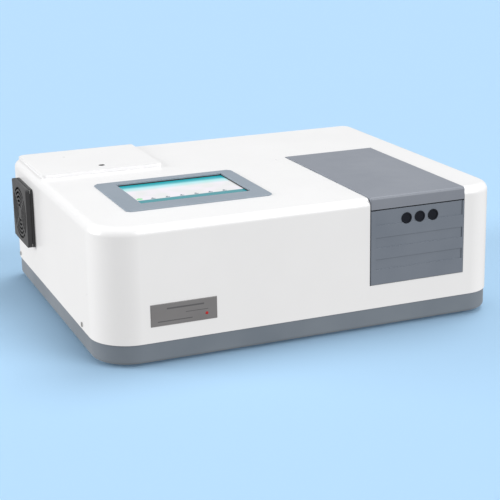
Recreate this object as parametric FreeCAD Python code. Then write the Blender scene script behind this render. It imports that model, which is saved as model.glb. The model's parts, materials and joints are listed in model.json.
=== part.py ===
import FreeCAD, Part
import math
import os

# Double-beam bench spectrophotometer.  Millimetres, +Z up, +X to the right seen from the front,
# front face at y = 0.  While modelling, the tray's underside is z = 0 and the housing's left wall
# is x = 0; save() then moves every piece so that the origin is the bottom centre of the whole.

# Case
width = 600.0
depth = 485.0
height = 188.0
wall = 3.0
front_left_radius = 57.0
front_right_radius = 44.0
rear_radius = 20.0
top_edge_radius = 12.0
tray_height = 28.0
tray_inset = 1.5
tray_floor = 3.0
tray_edge_radius = 5.0
rim_height = 13.0
rim_wall = 2.6
rim_gap = 0.4
foot_height = 5.0
foot_radius = 14.0
foot_taper = 1.5
foot_inset = 62.0
screw_radius = 2.0
screw_head_radius = 3.5
screw_head_height = 1.2
screw_gap = 0.3
side_screw_height = 35.0
side_screw_front = 92.0
side_screw_back = 25.0

# Sample lid, front panel and hinge
notch_width = 151.0
notch_right = 57.0
notch_length = 294.5
notch_bottom = 62.0
part_gap = 0.8
lid_rise = 1.8
lid_thickness = 3.5
lid_flange = 2.5
lid_flange_depth = 13.8
lid_front_radius = 4.0
lid_edge_radius = 1.2
lip_depth = 17.8
front_proud = 1.2
seal_height = 3.0
seal_width = 6.0
barrel_radius = 7.0
hinge_pin_radius = 1.5
hinge_fit = 0.05
hinge_pin_reach = 12.0
ear_thickness = 4.0
ear_gap = 0.6
ear_half_length = 6.0
ear_foot_drop = 35.0
ear_foot_height = 15.0
panel_thickness = 4.2
panel_top_gap = 2.0
rib_depth = 1.2
rib_left_margin = 8.0
rib_right_margin = 3.0
rib_drops = (-1.0, 21.0, 39.0, 54.0, 70.5, 85.5)
panel_peg_radius = 3.0
panel_peg_length = 7.0
panel_peg_spacing = 90.0
plug_count_names = ("left", "middle", "right")
plug_pitch = 21.2
plug_offset = 3.0
plug_drop = 15.2
plug_radius = 8.0
plug_flange = 1.2
plug_body_radius = 6.2
plug_body_length = 9.0
plug_dish = 0.8
plug_gap = 0.3

# Screen
bezel_left = 66.2
bezel_front = 79.5
bezel_width = 215.1
bezel_length = 167.6
bezel_rise = 2.0
bezel_lip = 4.5
bezel_body = 8.0
bezel_corner = 6.0
bezel_edge = 1.2
window_left = 29.9
window_front = 31.5
window_width = 163.6
window_length = 118.5
window_recess = 3.5
panel_margin = 3.2
glass_thickness = 1.8
screen_gap = 0.3
lcd_thickness = 8.0

# Name plate
plate_left = 68.8
plate_bottom = 50.3
plate_width = 93.5
plate_height = 30.7
plate_thickness = 1.0

# Cooling fan and its guard
fan_size = 92.0
fan_thickness = 25.0
fan_from_back = 89.5
fan_drop = 68.0
fan_screw_margin = 4.75
fan_bore_margin = 2.0
fan_strut = 2.0
rotor_gap = 1.5
rotor_hub_radius = 18.0
rotor_length = 17.0
rotor_shaft_radius = 1.5
rotor_shaft_fit = 0.05
blade_count = 7
blade_chord = 19.0
blade_thickness = 1.6
blade_pitch = 38.0
guard_inset = 0.35
guard_corner = 4.0
guard_base = 4.0
guard_cap = 7.5
guard_face = 3.0
guard_wall = 2.5
guard_step = 0.9
guard_screw_head = 2.0
ring_slot_share = 0.53
ring_count = 5
guard_hub_radius = 10.5
spoke_width = 3.2
filter_margin = 3.0
filter_thickness = 2.0

# Lamp cover at the rear left
cover_left = 9.0
cover_width = 188.0
cover_length = 162.0
cover_back_gap = 4.0
cover_rise = 5.0
cover_corner = 6.0
cover_opening_margin = 12.0
cover_opening_front = 46.0
cover_lip_depth = 6.0
cover_lip_wall = 2.0
cover_lip_gap = 0.6
well_x = 109.6
well_from_front = 30.0
well_radius = 5.0
well_wall = 2.0
well_depth = 12.0
well_floor = 2.0
cover_screw_head = 3.8
cover_screw_head_height = 3.0
cover_screw_length = 12.0

# Rear connectors
inlet_x = 465.0
inlet_z = 85.0
inlet_flange_width = 50.0
inlet_flange_height = 72.0
inlet_flange = 2.0
inlet_body_depth = 30.0
inlet_body_margin = 3.0
socket_width = 24.4
socket_height = 16.9
socket_depth = 17.0
socket_drop = 20.0
inlet_pin_width = 2.0
inlet_pin_height = 4.0
inlet_pin_length = 15.0
inlet_pin_spread = 7.0
drawer_width = 26.0
drawer_height = 9.0
drawer_length = 22.0
drawer_lift = 3.0
drawer_gap = 0.4
drawer_handle = 3.0
rocker_width = 20.0
rocker_height = 14.0
rocker_lift = 22.0
rocker_depth = 9.0
rocker_gap = 0.8
rocker_tilt = 8.0
rocker_pivot_depth = 4.0
rocker_pin_radius = 1.5
usb_x = 520.0
usb_z = 58.0
usb_width = 12.0
usb_height = 11.0
usb_length = 16.0
usb_wall = 1.4
usb_tongue = 3.2
usb_stand = 1.0
vent_count = 14
vent_width = 3.0
vent_height = 44.0
vent_pitch = 9.0
vent_left = 240.0
vent_drop = 83.0

# Optical bench
beam_height = 100.0
bench_left = 30.0
bench_right = 10.0
bench_front = 60.0
bench_length = 245.0
bench_thickness = 10.0
isolator_height = 17.0
isolator_radius = 10.0
bench_wing_width = 180.0
bench_wing_back = 22.0

# Sample chamber
chamber_wall = 2.5
chamber_front = 6.0
chamber_back_gap = 7.0
chamber_rail_drop = 5.0
chamber_rail_clearance = 7.2
chamber_back_clearance = 1.8
chamber_floor_top = 66.0
chamber_floor = 4.0
sill_depth = 8.0
sill_height = 6.0
sample_beam_y = 110.0
reference_beam_y = 190.0
beam_hole_radius = 7.0
beam_window_thickness = 1.5
holder_base_height = 10.0
holder_base_width = 60.0
holder_base_margin = 30.0
holder_width = 38.0
holder_length = 36.0
holder_height = 49.0
cell_size = 12.6
cell_floor = 9.0
holder_beam_radius = 4.5
dowel_radius = 2.0
dowel_gap = 0.15
dowel_length = 6.0
dowel_offset = 13.0

# Monochromator
case_gap = 0.7
case_left_gap = 10.1
case_front = 50.0
case_length = 250.0
case_wall = 5.0
case_floor = 5.0
case_top = 140.0
cover_plate = 5.0
split_from_right = 98.0
slit_radius = 7.0
slit_thickness = 1.5
slit_size = 22.0
slit_gap_width = 1.0
entrance_x = 60.0
grating_x = 125.0
grating_y = 165.0
grating_size = 30.0
grating_thickness = 8.0
turret_radius = 22.0
turret_plate = 4.0
turret_shaft_radius = 5.0
turret_pulley_radius = 24.0
pulley_height = 8.0
pulley_bottom = 70.0
motor_pulley_radius = 8.0
motor_offset_x = 52.0
motor_offset_y = 48.0
motor_size = 35.0
motor_height = 30.0
motor_shaft_radius = 2.5
shaft_fit = 0.05
belt_gap = 0.3
belt_thickness = 1.6
belt_height = 6.0
mirror_width = 44.0
mirror_height = 44.0
mirror_thickness = 12.0
mirror_curvature = 260.0
mirror_sag = 1.5
focus_x = 190.0
mirror_y = 18.0
fold_from_split = 28.0
fold_size = 22.0
fold_thickness = 4.0
wheel_radius = 27.0
wheel_thickness = 3.0
wheel_offset = 20.0
wheel_hole_radius = 6.0
wheel_hole_count = 6
wheel_from_back = 18.0
wheel_motor_radius = 10.0
wheel_motor_length = 15.0
chopper_x = 32.0
chopper_radius = 26.0
chopper_thickness = 2.0
chopper_offset = 15.0
chopper_motor_radius = 9.0
chopper_motor_length = 18.0

# Lamp house
lamp_house_gap = 5.0
lamp_house_width = 160.0
lamp_house_length = 150.0
lamp_house_drop = 38.0
lamp_house_wall = 2.0
lamp_mirror_y = 42.0
lamp_mirror_size = 30.0
lamp_mirror_thickness = 3.0
lamp_motor_radius = 14.0
lamp_motor_height = 28.0
lamp_shaft_radius = 2.5
deuterium_offset = 62.0
deuterium_radius = 14.0
tungsten_offset = 38.0
tungsten_radius = 6.0
socket_block = 34.0
socket_block_height = 20.0
lamp_pin_base = 10.0
lamp_glass_top = 125.0

# Detector, power supply and main board
detector_gap = 4.0
detector_width = 42.0
detector_margin = 30.0
detector_top = 150.0
detector_wall = 4.0
diode_radius = 6.5
diode_length = 12.0
supply_left = 225.0
supply_width = 150.0
supply_length = 120.0
supply_height = 62.0
supply_back = 30.0
supply_wall = 1.6
supply_slot_count = 8
supply_slot_pitch = 14.0
supply_slot_width = 5.0
board_right = 30.0
board_width = 155.0
board_length = 110.0
board_back = 45.0
board_height = 20.0
board_thickness = 1.6
board_post_radius = 4.0
board_chip = 14.0
board_chip_height = 4.0
board_chip_count = 4
board_chip_pitch = 32.0

axis_x = FreeCAD.Vector(1, 0, 0)
axis_y = FreeCAD.Vector(0, 1, 0)
axis_z = FreeCAD.Vector(0, 0, 1)

# Places that follow from the sizes above
notch_x1 = width - notch_right
notch_x0 = notch_x1 - notch_width
lid_x0 = notch_x0 + part_gap
lid_x1 = notch_x1 - part_gap
lid_top = height + lid_rise
lid_back = notch_length - part_gap
lip_bottom = lid_top - lip_depth
panel_top = lip_bottom - panel_top_gap
plug_height = panel_top - plug_drop
hinge_y = lid_back - barrel_radius
hinge_z = lid_top - barrel_radius
chamber_x0 = lid_x0 + lid_flange + part_gap
chamber_x1 = lid_x1 - lid_flange - part_gap
chamber_middle = (chamber_x0 + chamber_x1) / 2
chamber_back = notch_length - chamber_back_gap
bench_bottom = tray_floor + isolator_height
bench_top = bench_bottom + bench_thickness
case_x1 = notch_x0 - ear_gap - ear_thickness - case_gap
case_x0 = bench_left + case_left_gap
case_back = case_front + case_length
split_x = case_x1 - split_from_right
lamp_house_front = case_back + lamp_house_gap
lamp_house_top = height - lamp_house_drop
lamp_row_y = lamp_house_front + lamp_mirror_y
fan_y = depth - fan_from_back
fan_height = height - fan_drop
fan_screw_half = fan_size / 2 - fan_screw_margin
fan_bore_radius = fan_size / 2 - fan_bore_margin
guard_bore_radius = fan_bore_radius - 1
guard_size = fan_size - 2 * guard_inset
ring_pitch = (guard_bore_radius - guard_hub_radius) / ring_count
cover_back = depth - cover_back_gap
cover_front = cover_back - cover_length
cover_right = cover_left + cover_width
well_y = cover_front + well_from_front
guard_standout = guard_base + guard_cap
vent_bottom = height - vent_drop
peg_height = chamber_floor_top + sill_height / 2 - 1
rear_proud = inlet_flange + drawer_handle
turret_x = case_x0 + grating_x
turret_y = case_front + grating_y
motor_x = turret_x + motor_offset_x
motor_y = turret_y + motor_offset_y
entrance = case_x0 + entrance_x
origin = FreeCAD.Vector(
    (width + screw_head_height - guard_standout) / 2,
    (depth + rear_proud - front_proud) / 2,
    -foot_height,
)


def block(x0, x1, y0, y1, z0, z1):
    return Part.makeBox(x1 - x0, y1 - y0, z1 - z0, FreeCAD.Vector(x0, y0, z0))


def rod(x, y, z, radius, length, axis):
    return Part.makeCylinder(radius, length, FreeCAD.Vector(x, y, z), axis)


def edges_at_height(shape, z):
    found = []
    for edge in shape.Edges:
        box = edge.BoundBox
        if abs(box.ZMin - z) < 0.01 and abs(box.ZMax - z) < 0.01:
            found.append(edge)
    return found


def upright_edges(shape):
    found = []
    for edge in shape.Edges:
        box = edge.BoundBox
        if box.XLength < 0.01 and box.YLength < 0.01:
            found.append(edge)
    return found


def rounded_block(x0, x1, y0, y1, z0, z1, radius):
    solid = block(x0, x1, y0, y1, z0, z1)
    return solid.makeFillet(radius, upright_edges(solid))


def plan_prism(inset, z0, z1):
    """The case's outline seen from above, drawn in by inset and raised from z0 to z1."""
    corners = (
        (inset, inset, front_left_radius, 180),
        (width - inset, inset, front_right_radius, 270),
        (width - inset, depth - inset, rear_radius, 0),
        (inset, depth - inset, rear_radius, 90),
    )
    arcs = []
    for x, y, radius, start in corners:
        turn = radius - inset
        side_x = turn if x < width / 2 else -turn
        side_y = turn if y < depth / 2 else -turn
        centre = FreeCAD.Vector(x + side_x, y + side_y, z0)
        arcs.append(Part.makeCircle(turn, centre, axis_z, start, start + 90))
    edges = []
    for index, arc in enumerate(arcs):
        following = arcs[(index + 1) % len(arcs)]
        edges.append(arc)
        edges.append(Part.makeLine(arc.Vertexes[-1].Point, following.Vertexes[0].Point))
    face = Part.Face(Part.Wire(edges))
    return face.extrude(FreeCAD.Vector(0, 0, z1 - z0))


def housing_outside(bottom, top):
    solid = plan_prism(0, bottom, top)
    return solid.makeFillet(top_edge_radius, edges_at_height(solid, top))


def side_screw_places():
    places = []
    for y in (side_screw_front, depth - side_screw_back):
        places.append((0.0, y, axis_x))
        places.append((width, y, axis_x * -1))
    return places


def base_tray():
    tray = plan_prism(tray_inset, 0, tray_height)
    tray = tray.makeFillet(tray_edge_radius, edges_at_height(tray, 0))
    rim_inset = wall + rim_gap
    tray = tray.fuse(plan_prism(rim_inset, tray_height - 1, tray_height + rim_height))
    tray = tray.cut(plan_prism(rim_inset + rim_wall, tray_floor, tray_height + rim_height + 1))
    for x, y, axis in side_screw_places():
        hole = rod(x, y, side_screw_height, screw_radius + screw_gap, wall + 2 * rim_wall + 2, axis)
        tray = tray.cut(hole)
    for x, y in board_posts():
        start = tray_floor - 0.5
        tray = tray.fuse(rod(x, y, start, board_post_radius, board_height - start, axis_z))
    return tray.removeSplitter()


def board_posts():
    inset = 8.0
    x1 = width - board_right
    x0 = x1 - board_width
    y1 = depth - board_back
    y0 = y1 - board_length
    return [(x, y) for x in (x0 + inset, x1 - inset) for y in (y0 + inset, y1 - inset)]


def rubber_feet():
    feet = []
    for x in (foot_inset, width - foot_inset):
        for y in (foot_inset, depth - foot_inset):
            place = FreeCAD.Vector(x, y, -foot_height)
            feet.append(Part.makeCone(foot_radius - foot_taper, foot_radius, foot_height, place, axis_z))
    return Part.makeCompound(feet)


def cover_opening(z0, z1, shrink):
    return rounded_block(
        cover_left + cover_opening_margin + shrink,
        cover_right - cover_opening_margin - shrink,
        cover_front + cover_opening_front + shrink,
        cover_back - cover_opening_margin - shrink,
        z0, z1, cover_corner,
    )


def fan_screw_places():
    sides = (-fan_screw_half, fan_screw_half)
    return [(fan_y + a, fan_height + b) for a in sides for b in sides]


def housing():
    shell = housing_outside(tray_height, height)
    inside = plan_prism(wall, tray_height - 1, height - wall)
    inside = inside.makeFillet(top_edge_radius - wall, edges_at_height(inside, height - wall))
    shell = shell.cut(inside)
    well_bore = well_radius + well_wall + screw_gap
    well_bottom = height - well_depth - well_floor
    well = rod(well_x, well_y, well_bottom, well_bore + well_wall, height - well_bottom - 1, axis_z)
    shell = shell.fuse(well)
    usb_half_width = usb_width / 2 + drawer_gap
    usb_half_height = usb_height / 2 + drawer_gap
    cuts = [
        block(notch_x0, notch_x1, -1, notch_length, notch_bottom, height + 1),
        block(
            bezel_left + bezel_lip, bezel_left + bezel_width - bezel_lip,
            bezel_front + bezel_lip, bezel_front + bezel_length - bezel_lip,
            height - wall - 1, height + 1,
        ),
        cover_opening(height - wall - 1, height + 1, 0),
        rod(-1, fan_y, fan_height, guard_bore_radius, wall + 2, axis_x),
        rod(well_x, well_y, height - well_depth, well_bore, well_depth + 1, axis_z),
        rod(well_x, well_y, well_bottom - 1, screw_radius + screw_gap, well_floor + 2, axis_z),
        inlet_body(drawer_gap, depth - wall - 1, depth + 1),
        block(
            usb_x - usb_half_width, usb_x + usb_half_width, depth - wall - 1, depth + 1,
            usb_z - usb_half_height, usb_z + usb_half_height,
        ),
    ]
    for y, z in fan_screw_places():
        cuts.append(rod(-1, y, z, screw_radius + screw_gap, wall + 2, axis_x))
    for x, y, axis in side_screw_places():
        cuts.append(rod(x, y, side_screw_height, screw_radius + screw_gap, wall + 1, axis))
    for number in range(vent_count):
        x = vent_left + number * vent_pitch
        top = vent_bottom + vent_height
        cuts.append(block(x, x + vent_width, depth - wall - 1, depth + 1, vent_bottom, top))
    return shell.cut(cuts)


def housing_screws():
    screws = []
    for x, y, axis in side_screw_places():
        shank = rod(x, y, side_screw_height, screw_radius, wall + rim_gap + rim_wall, axis)
        head = rod(x, y, side_screw_height, screw_head_radius, screw_head_height, axis * -1)
        slot = block(x - 2, x + 2, y - 0.5, y + 0.5, side_screw_height - 2.4, side_screw_height + 2.4)
        outward = axis * -(screw_head_height + 1.4)
        slot.translate(outward)
        screws.append(head.fuse(shank).cut(slot))
    return Part.makeCompound(screws)


def screen_bezel():
    x1 = bezel_left + bezel_width
    y1 = bezel_front + bezel_length
    flange = block(bezel_left, x1, bezel_front, y1, height, height + bezel_rise)
    flange = flange.makeChamfer(bezel_corner, upright_edges(flange))
    flange = flange.makeChamfer(bezel_edge, edges_at_height(flange, height + bezel_rise))
    fit = bezel_lip + screen_gap
    body = block(bezel_left + fit, x1 - fit, bezel_front + fit, y1 - fit, height - bezel_body, height)
    x = bezel_left + window_left
    y = bezel_front + window_front
    glass_top = height + bezel_rise - window_recess
    opening = block(x, x + window_width, y, y + window_length, glass_top - 1, height + bezel_rise + 1)
    pocket = screen_plate(0, height - bezel_body - 1, glass_top)
    hollow = block(
        bezel_left + fit + wall, x1 - fit - wall, bezel_front + fit + wall, y1 - fit - wall,
        height - bezel_body - 1, height - bezel_body / 2,
    )
    rib = screen_plate(-wall, height - bezel_body, glass_top - 0.5)
    body = body.cut(hollow.cut(rib))
    return flange.fuse(body).cut([opening, pocket]).removeSplitter()


def screen_plate(shrink, z0, z1):
    grow = panel_margin - shrink
    x = bezel_left + window_left
    y = bezel_front + window_front
    return block(x - grow, x + window_width + grow, y - grow, y + window_length + grow, z0, z1)


def touch_glass():
    top = height + bezel_rise - window_recess
    return screen_plate(screen_gap, top - glass_thickness, top)


def lcd_module():
    top = height + bezel_rise - window_recess - glass_thickness
    module = screen_plate(1.0, top - lcd_thickness, top)
    return module.makeChamfer(1.0, upright_edges(module))


def nameplate():
    plate = block(
        plate_left, plate_left + plate_width, -plate_thickness, 0,
        plate_bottom, plate_bottom + plate_height,
    )
    edges = []
    for edge in plate.Edges:
        if edge.BoundBox.YMax < -plate_thickness + 0.01:
            edges.append(edge)
    return plate.makeChamfer(0.4, edges)


def guard_square(x0, x1, size, corner):
    half = size / 2
    solid = block(x0, x1, fan_y - half, fan_y + half, fan_height - half, fan_height + half)
    edges = []
    for edge in solid.Edges:
        if edge.BoundBox.XLength > 0.01:
            edges.append(edge)
    return solid.makeFillet(corner, edges)


def guard_base_frame():
    frame = guard_square(-guard_base, 0, guard_size, guard_corner)
    cuts = [rod(-guard_base - 1, fan_y, fan_height, guard_bore_radius, guard_base + 2, axis_x)]
    for y, z in fan_screw_places():
        cuts.append(rod(-guard_base - 1, y, z, screw_radius + screw_gap, guard_base + 2, axis_x))
    return frame.cut(cuts)


def fan_grille():
    outer_face = -guard_standout
    step = -guard_base - guard_step
    cap = guard_square(outer_face, step, guard_size, guard_corner)
    narrowed = guard_size - 2 * guard_step
    foot = guard_square(step, -guard_base, narrowed, guard_corner - guard_step)
    inner = narrowed - 2 * guard_wall
    cavity = guard_square(outer_face + guard_face, -guard_base + 1, inner, guard_corner - guard_wall)
    heads = []
    for y, z in fan_screw_places():
        start = -guard_base - guard_screw_head - screw_gap
        heads.append(rod(start, y, z, screw_head_radius + screw_gap, guard_base, axis_x))
    cap = cap.fuse(foot).cut([cavity] + heads)
    slots = []
    for ring in range(ring_count):
        radius = guard_hub_radius + ring * ring_pitch
        edge = radius + ring_pitch * ring_slot_share
        slot = rod(outer_face - 1, fan_y, fan_height, edge, guard_face + 2, axis_x)
        slots.append(slot.cut(rod(outer_face - 1, fan_y, fan_height, radius, guard_face + 2, axis_x)))
    openings = Part.makeCompound(slots)
    spokes = []
    for turn in (45, 135):
        spoke = block(
            outer_face - 2, outer_face + guard_face + 2, fan_y - guard_size, fan_y + guard_size,
            fan_height - spoke_width / 2, fan_height + spoke_width / 2,
        )
        spoke.rotate(FreeCAD.Vector(0, fan_y, fan_height), axis_x, turn)
        spokes.append(spoke)
    return cap.cut(openings.cut(spokes)).removeSplitter()


def dust_filter():
    front = -guard_standout + guard_face + 0.2
    return rod(front, fan_y, fan_height, fan_bore_radius - filter_margin, filter_thickness, axis_x)


def fan_frame():
    frame = guard_square(wall, wall + fan_thickness, fan_size, guard_corner)
    frame = frame.cut(rod(wall - 1, fan_y, fan_height, fan_bore_radius, fan_thickness + 2, axis_x))
    back = wall + fan_thickness
    hub_length = fan_thickness - rotor_length - 4
    hub = rod(back - hub_length, fan_y, fan_height, rotor_hub_radius, hub_length, axis_x)
    struts = []
    for turn in (0, 90):
        strut = block(
            back - 3, back, fan_y - fan_bore_radius - 1, fan_y + fan_bore_radius + 1,
            fan_height - fan_strut, fan_height + fan_strut,
        )
        strut.rotate(FreeCAD.Vector(0, fan_y, fan_height), axis_x, turn)
        struts.append(strut)
    frame = frame.fuse([hub] + struts)
    bore_radius = rotor_shaft_radius + rotor_shaft_fit
    cuts = [rod(back - hub_length - 1, fan_y, fan_height, bore_radius, hub_length, axis_x)]
    for y, z in fan_screw_places():
        cuts.append(rod(wall - 1, y, z, screw_radius + screw_gap, fan_thickness + 2, axis_x))
    return frame.cut(cuts).removeSplitter()


def fan_rotor():
    start = wall + 2
    rotor_radius = fan_bore_radius - rotor_gap
    hub = rod(start, fan_y, fan_height, rotor_hub_radius, rotor_length, axis_x)
    blades = []
    for number in range(blade_count):
        blade = block(
            -blade_chord / 2, blade_chord / 2, -blade_thickness / 2, blade_thickness / 2,
            rotor_hub_radius - 2, rotor_radius + 3,
        )
        blade.rotate(FreeCAD.Vector(0, 0, 0), axis_z, blade_pitch)
        blade.translate(FreeCAD.Vector(start + rotor_length / 2, fan_y, fan_height))
        blade.rotate(FreeCAD.Vector(0, fan_y, fan_height), axis_x, number * 360.0 / blade_count)
        blades.append(blade)
    sweep = rod(start, fan_y, fan_height, rotor_radius, rotor_length, axis_x)
    shaft = rod(start, fan_y, fan_height, rotor_shaft_radius, rotor_length + 4, axis_x)
    return hub.fuse(blades).common(sweep).fuse(shaft).removeSplitter()


def fan_screws():
    screws = []
    for y, z in fan_screw_places():
        shank = rod(-guard_base, y, z, screw_radius, guard_base + wall + fan_thickness, axis_x)
        head = rod(-guard_base - guard_screw_head, y, z, screw_head_radius, guard_screw_head, axis_x)
        screws.append(head.fuse(shank))
    return Part.makeCompound(screws)


def lamp_cover():
    raised = housing_outside(height - top_edge_radius - 10, height)
    raised.translate(FreeCAD.Vector(0, 0, cover_rise))
    region = rounded_block(
        cover_left, cover_right, cover_front, cover_back,
        height - top_edge_radius, height + cover_rise + 5, cover_corner,
    )
    plate = raised.common(region).cut(housing_outside(tray_height, height))
    lip = cover_opening(height - cover_lip_depth, height + 0.5, cover_lip_gap)
    shrink = cover_lip_gap + cover_lip_wall
    lip = lip.cut(cover_opening(height - cover_lip_depth - 1, height + 1, shrink))
    tube_bottom = height - well_depth + 0.5
    tube = rod(well_x, well_y, tube_bottom, well_radius + well_wall, height + 0.5 - tube_bottom, axis_z)
    cover = plate.fuse([lip, tube])
    recess_floor = tube_bottom + well_floor
    cover = cover.cut([
        rod(well_x, well_y, recess_floor, well_radius, height + 10 - recess_floor, axis_z),
        rod(well_x, well_y, tube_bottom - 1, screw_radius + screw_gap, well_floor + 2, axis_z),
    ])
    return cover.removeSplitter()


def lamp_cover_screw():
    seat = height - well_depth + 0.5 + well_floor
    head = rod(well_x, well_y, seat, cover_screw_head, cover_screw_head_height, axis_z)
    shank = rod(well_x, well_y, seat - cover_screw_length, screw_radius, cover_screw_length, axis_z)
    slot = block(
        well_x - cover_screw_head - 1, well_x + cover_screw_head + 1, well_y - 0.5, well_y + 0.5,
        seat + cover_screw_head_height - 1.2, seat + cover_screw_head_height + 1,
    )
    return head.fuse(shank).cut(slot)


def sample_lid():
    top = block(lid_x0, lid_x1, -front_proud, hinge_y, lip_bottom, lid_top)
    front_edge = []
    for edge in edges_at_height(top, lid_top):
        if edge.BoundBox.YMax < 0:
            front_edge.append(edge)
    top = top.makeFillet(lid_front_radius, front_edge)
    sides = []
    for edge in edges_at_height(top, lid_top):
        if edge.BoundBox.XLength < 0.01:
            sides.append(edge)
    top = top.makeFillet(lid_edge_radius, sides)
    under = lid_top - lid_thickness
    inner_front = lid_thickness - front_proud
    hollow_back = hinge_y - barrel_radius - 3
    hollow = block(
        lid_x0 + lid_flange, lid_x1 - lid_flange, inner_front, hollow_back,
        lip_bottom - 1, under,
    )
    below = block(
        lid_x0 - 1, lid_x1 + 1, inner_front, hinge_y + 1,
        lip_bottom - 1, lid_top - lid_flange_depth,
    )
    barrel = rod(lid_x0, hinge_y, hinge_z, barrel_radius, lid_x1 - lid_x0, axis_x)
    lid = top.cut([hollow, below]).fuse(barrel)
    bores = []
    for x in (lid_x0 - 1, lid_x1 - hinge_pin_reach):
        bores.append(rod(x, hinge_y, hinge_z, hinge_pin_radius + hinge_fit, hinge_pin_reach + 1, axis_x))
    return lid.cut(bores).removeSplitter()


def lid_seal():
    under = lid_top - lid_thickness
    inner_front = lid_thickness - front_proud
    y1 = hinge_y - barrel_radius - 3
    x0 = lid_x0 + lid_flange
    x1 = lid_x1 - lid_flange
    outer = block(x0, x1, inner_front, y1, under - seal_height, under)
    hole = block(
        x0 + seal_width, x1 - seal_width, inner_front + seal_width, y1 - seal_width,
        under - seal_height - 1, under + 1,
    )
    return outer.cut(hole)


def hinge_brackets():
    brackets = []
    ear_top = height - wall - 0.2
    foot_bottom = hinge_z - ear_foot_drop
    for side in (-1, 1):
        notch = notch_x0 if side < 0 else notch_x1
        chamber = chamber_x0 if side < 0 else chamber_x1
        outer = notch + side * (ear_thickness + ear_gap)
        inner = notch + side * ear_gap
        front = hinge_y - ear_half_length
        ear = block(
            min(outer, inner), max(outer, inner), front, hinge_y + ear_half_length,
            foot_bottom, ear_top,
        )
        foot = block(
            min(inner, chamber), max(inner, chamber), front, chamber_back,
            foot_bottom, foot_bottom + ear_foot_height,
        )
        start = min(outer, inner) - 1
        bore = rod(start, hinge_y, hinge_z, hinge_pin_radius, ear_thickness + 2, axis_x)
        brackets.append(ear.fuse(foot).cut(bore).removeSplitter())
    return Part.makeCompound(brackets)


def hinge_pins():
    outside = ear_gap + ear_thickness
    length = hinge_pin_reach - 1 + part_gap + outside
    left = rod(notch_x0 - outside, hinge_y, hinge_z, hinge_pin_radius, length, axis_x)
    right = rod(notch_x1 + outside - length, hinge_y, hinge_z, hinge_pin_radius, length, axis_x)
    return Part.makeCompound([left, right])


def plug_places():
    middle = (lid_x0 + lid_x1) / 2 + plug_offset
    return [middle + (number - 1) * plug_pitch for number in range(len(plug_count_names))]


def panel_peg_places():
    return [chamber_middle - panel_peg_spacing / 2, chamber_middle + panel_peg_spacing / 2]


def front_panel():
    bottom = notch_bottom + part_gap
    plate = block(lid_x0, lid_x1, -front_proud, panel_thickness - front_proud, bottom, panel_top)
    rim = []
    for edge in plate.Edges:
        box = edge.BoundBox
        if box.YMax < 0 and box.XLength < 0.01:
            rim.append(edge)
    plate = plate.makeFillet(lid_edge_radius, rim)
    bands = []
    for upper, lower in zip(rib_drops[0::2], rib_drops[1::2]):
        band = block(
            lid_x0 + rib_left_margin, lid_x1 - rib_right_margin,
            -front_proud - 1, rib_depth - front_proud, panel_top - lower, panel_top - upper,
        )
        bands.append(band)
    plate = plate.cut(bands)
    holes = []
    start = -front_proud - 1
    for x in plug_places():
        through = rod(x, start, plug_height, plug_body_radius + plug_gap, panel_thickness + 2, axis_y)
        holes.append(through)
        holes.append(rod(x, start, plug_height, plug_radius + plug_gap, rib_depth + 1, axis_y))
    pegs = []
    inner_face = panel_thickness - front_proud
    reach = chamber_front + panel_peg_length - inner_face
    for x in panel_peg_places():
        pegs.append(rod(x, inner_face, peg_height, panel_peg_radius, reach, axis_y))
    return plate.cut(holes).fuse(pegs).removeSplitter()


def port_plug(x):
    seat = rib_depth - front_proud
    flange = rod(x, seat - plug_flange, plug_height, plug_radius, plug_flange, axis_y)
    body = rod(x, seat, plug_height, plug_body_radius, plug_body_length, axis_y)
    dish = rod(x, seat - plug_flange - 1, plug_height, plug_radius - 2, 1 + plug_dish, axis_y)
    hollow = rod(x, seat + 2, plug_height, plug_body_radius - 2, plug_body_length, axis_y)
    return flange.fuse(body).cut([dish, hollow])


def rocker_centre():
    return inlet_z + rocker_lift, depth + inlet_flange - rocker_pivot_depth


def inlet_body(gap, y0, y1):
    half_w = inlet_flange_width / 2 - inlet_body_margin + gap
    half_h = inlet_flange_height / 2 - inlet_body_margin + gap
    return block(inlet_x - half_w, inlet_x + half_w, y0, y1, inlet_z - half_h, inlet_z + half_h)


def centred_slot(centre_z, slot_width, slot_height, y0, y1):
    half_w = slot_width / 2
    half_h = slot_height / 2
    return block(inlet_x - half_w, inlet_x + half_w, y0, y1, centre_z - half_h, centre_z + half_h)


def power_inlet():
    face = depth + inlet_flange
    half_w = inlet_flange_width / 2
    half_h = inlet_flange_height / 2
    flange = block(
        inlet_x - half_w, inlet_x + half_w, depth, face,
        inlet_z - half_h, inlet_z + half_h,
    )
    module = flange.fuse(inlet_body(0, depth - inlet_body_depth, depth))
    socket = centred_slot(
        inlet_z - socket_drop, socket_width, socket_height,
        face - socket_depth, face + 1,
    )
    drawer_slot = centred_slot(
        inlet_z + drawer_lift, drawer_width + 2 * drawer_gap, drawer_height + 2 * drawer_gap,
        face - drawer_length - drawer_gap, face + 1,
    )
    rocker_z, pivot_y = rocker_centre()
    rocker_slot = centred_slot(
        rocker_z, rocker_width + 2 * rocker_gap, rocker_height + 2 * rocker_gap,
        face - rocker_depth - 5, face + 1,
    )
    reach = rocker_width / 2 + rocker_gap + 3
    pin_radius = rocker_pin_radius + hinge_fit
    pin_hole = rod(inlet_x - reach, pivot_y, rocker_z, pin_radius, 2 * reach, axis_x)
    return module.cut([socket, drawer_slot, rocker_slot, pin_hole]).removeSplitter()


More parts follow.
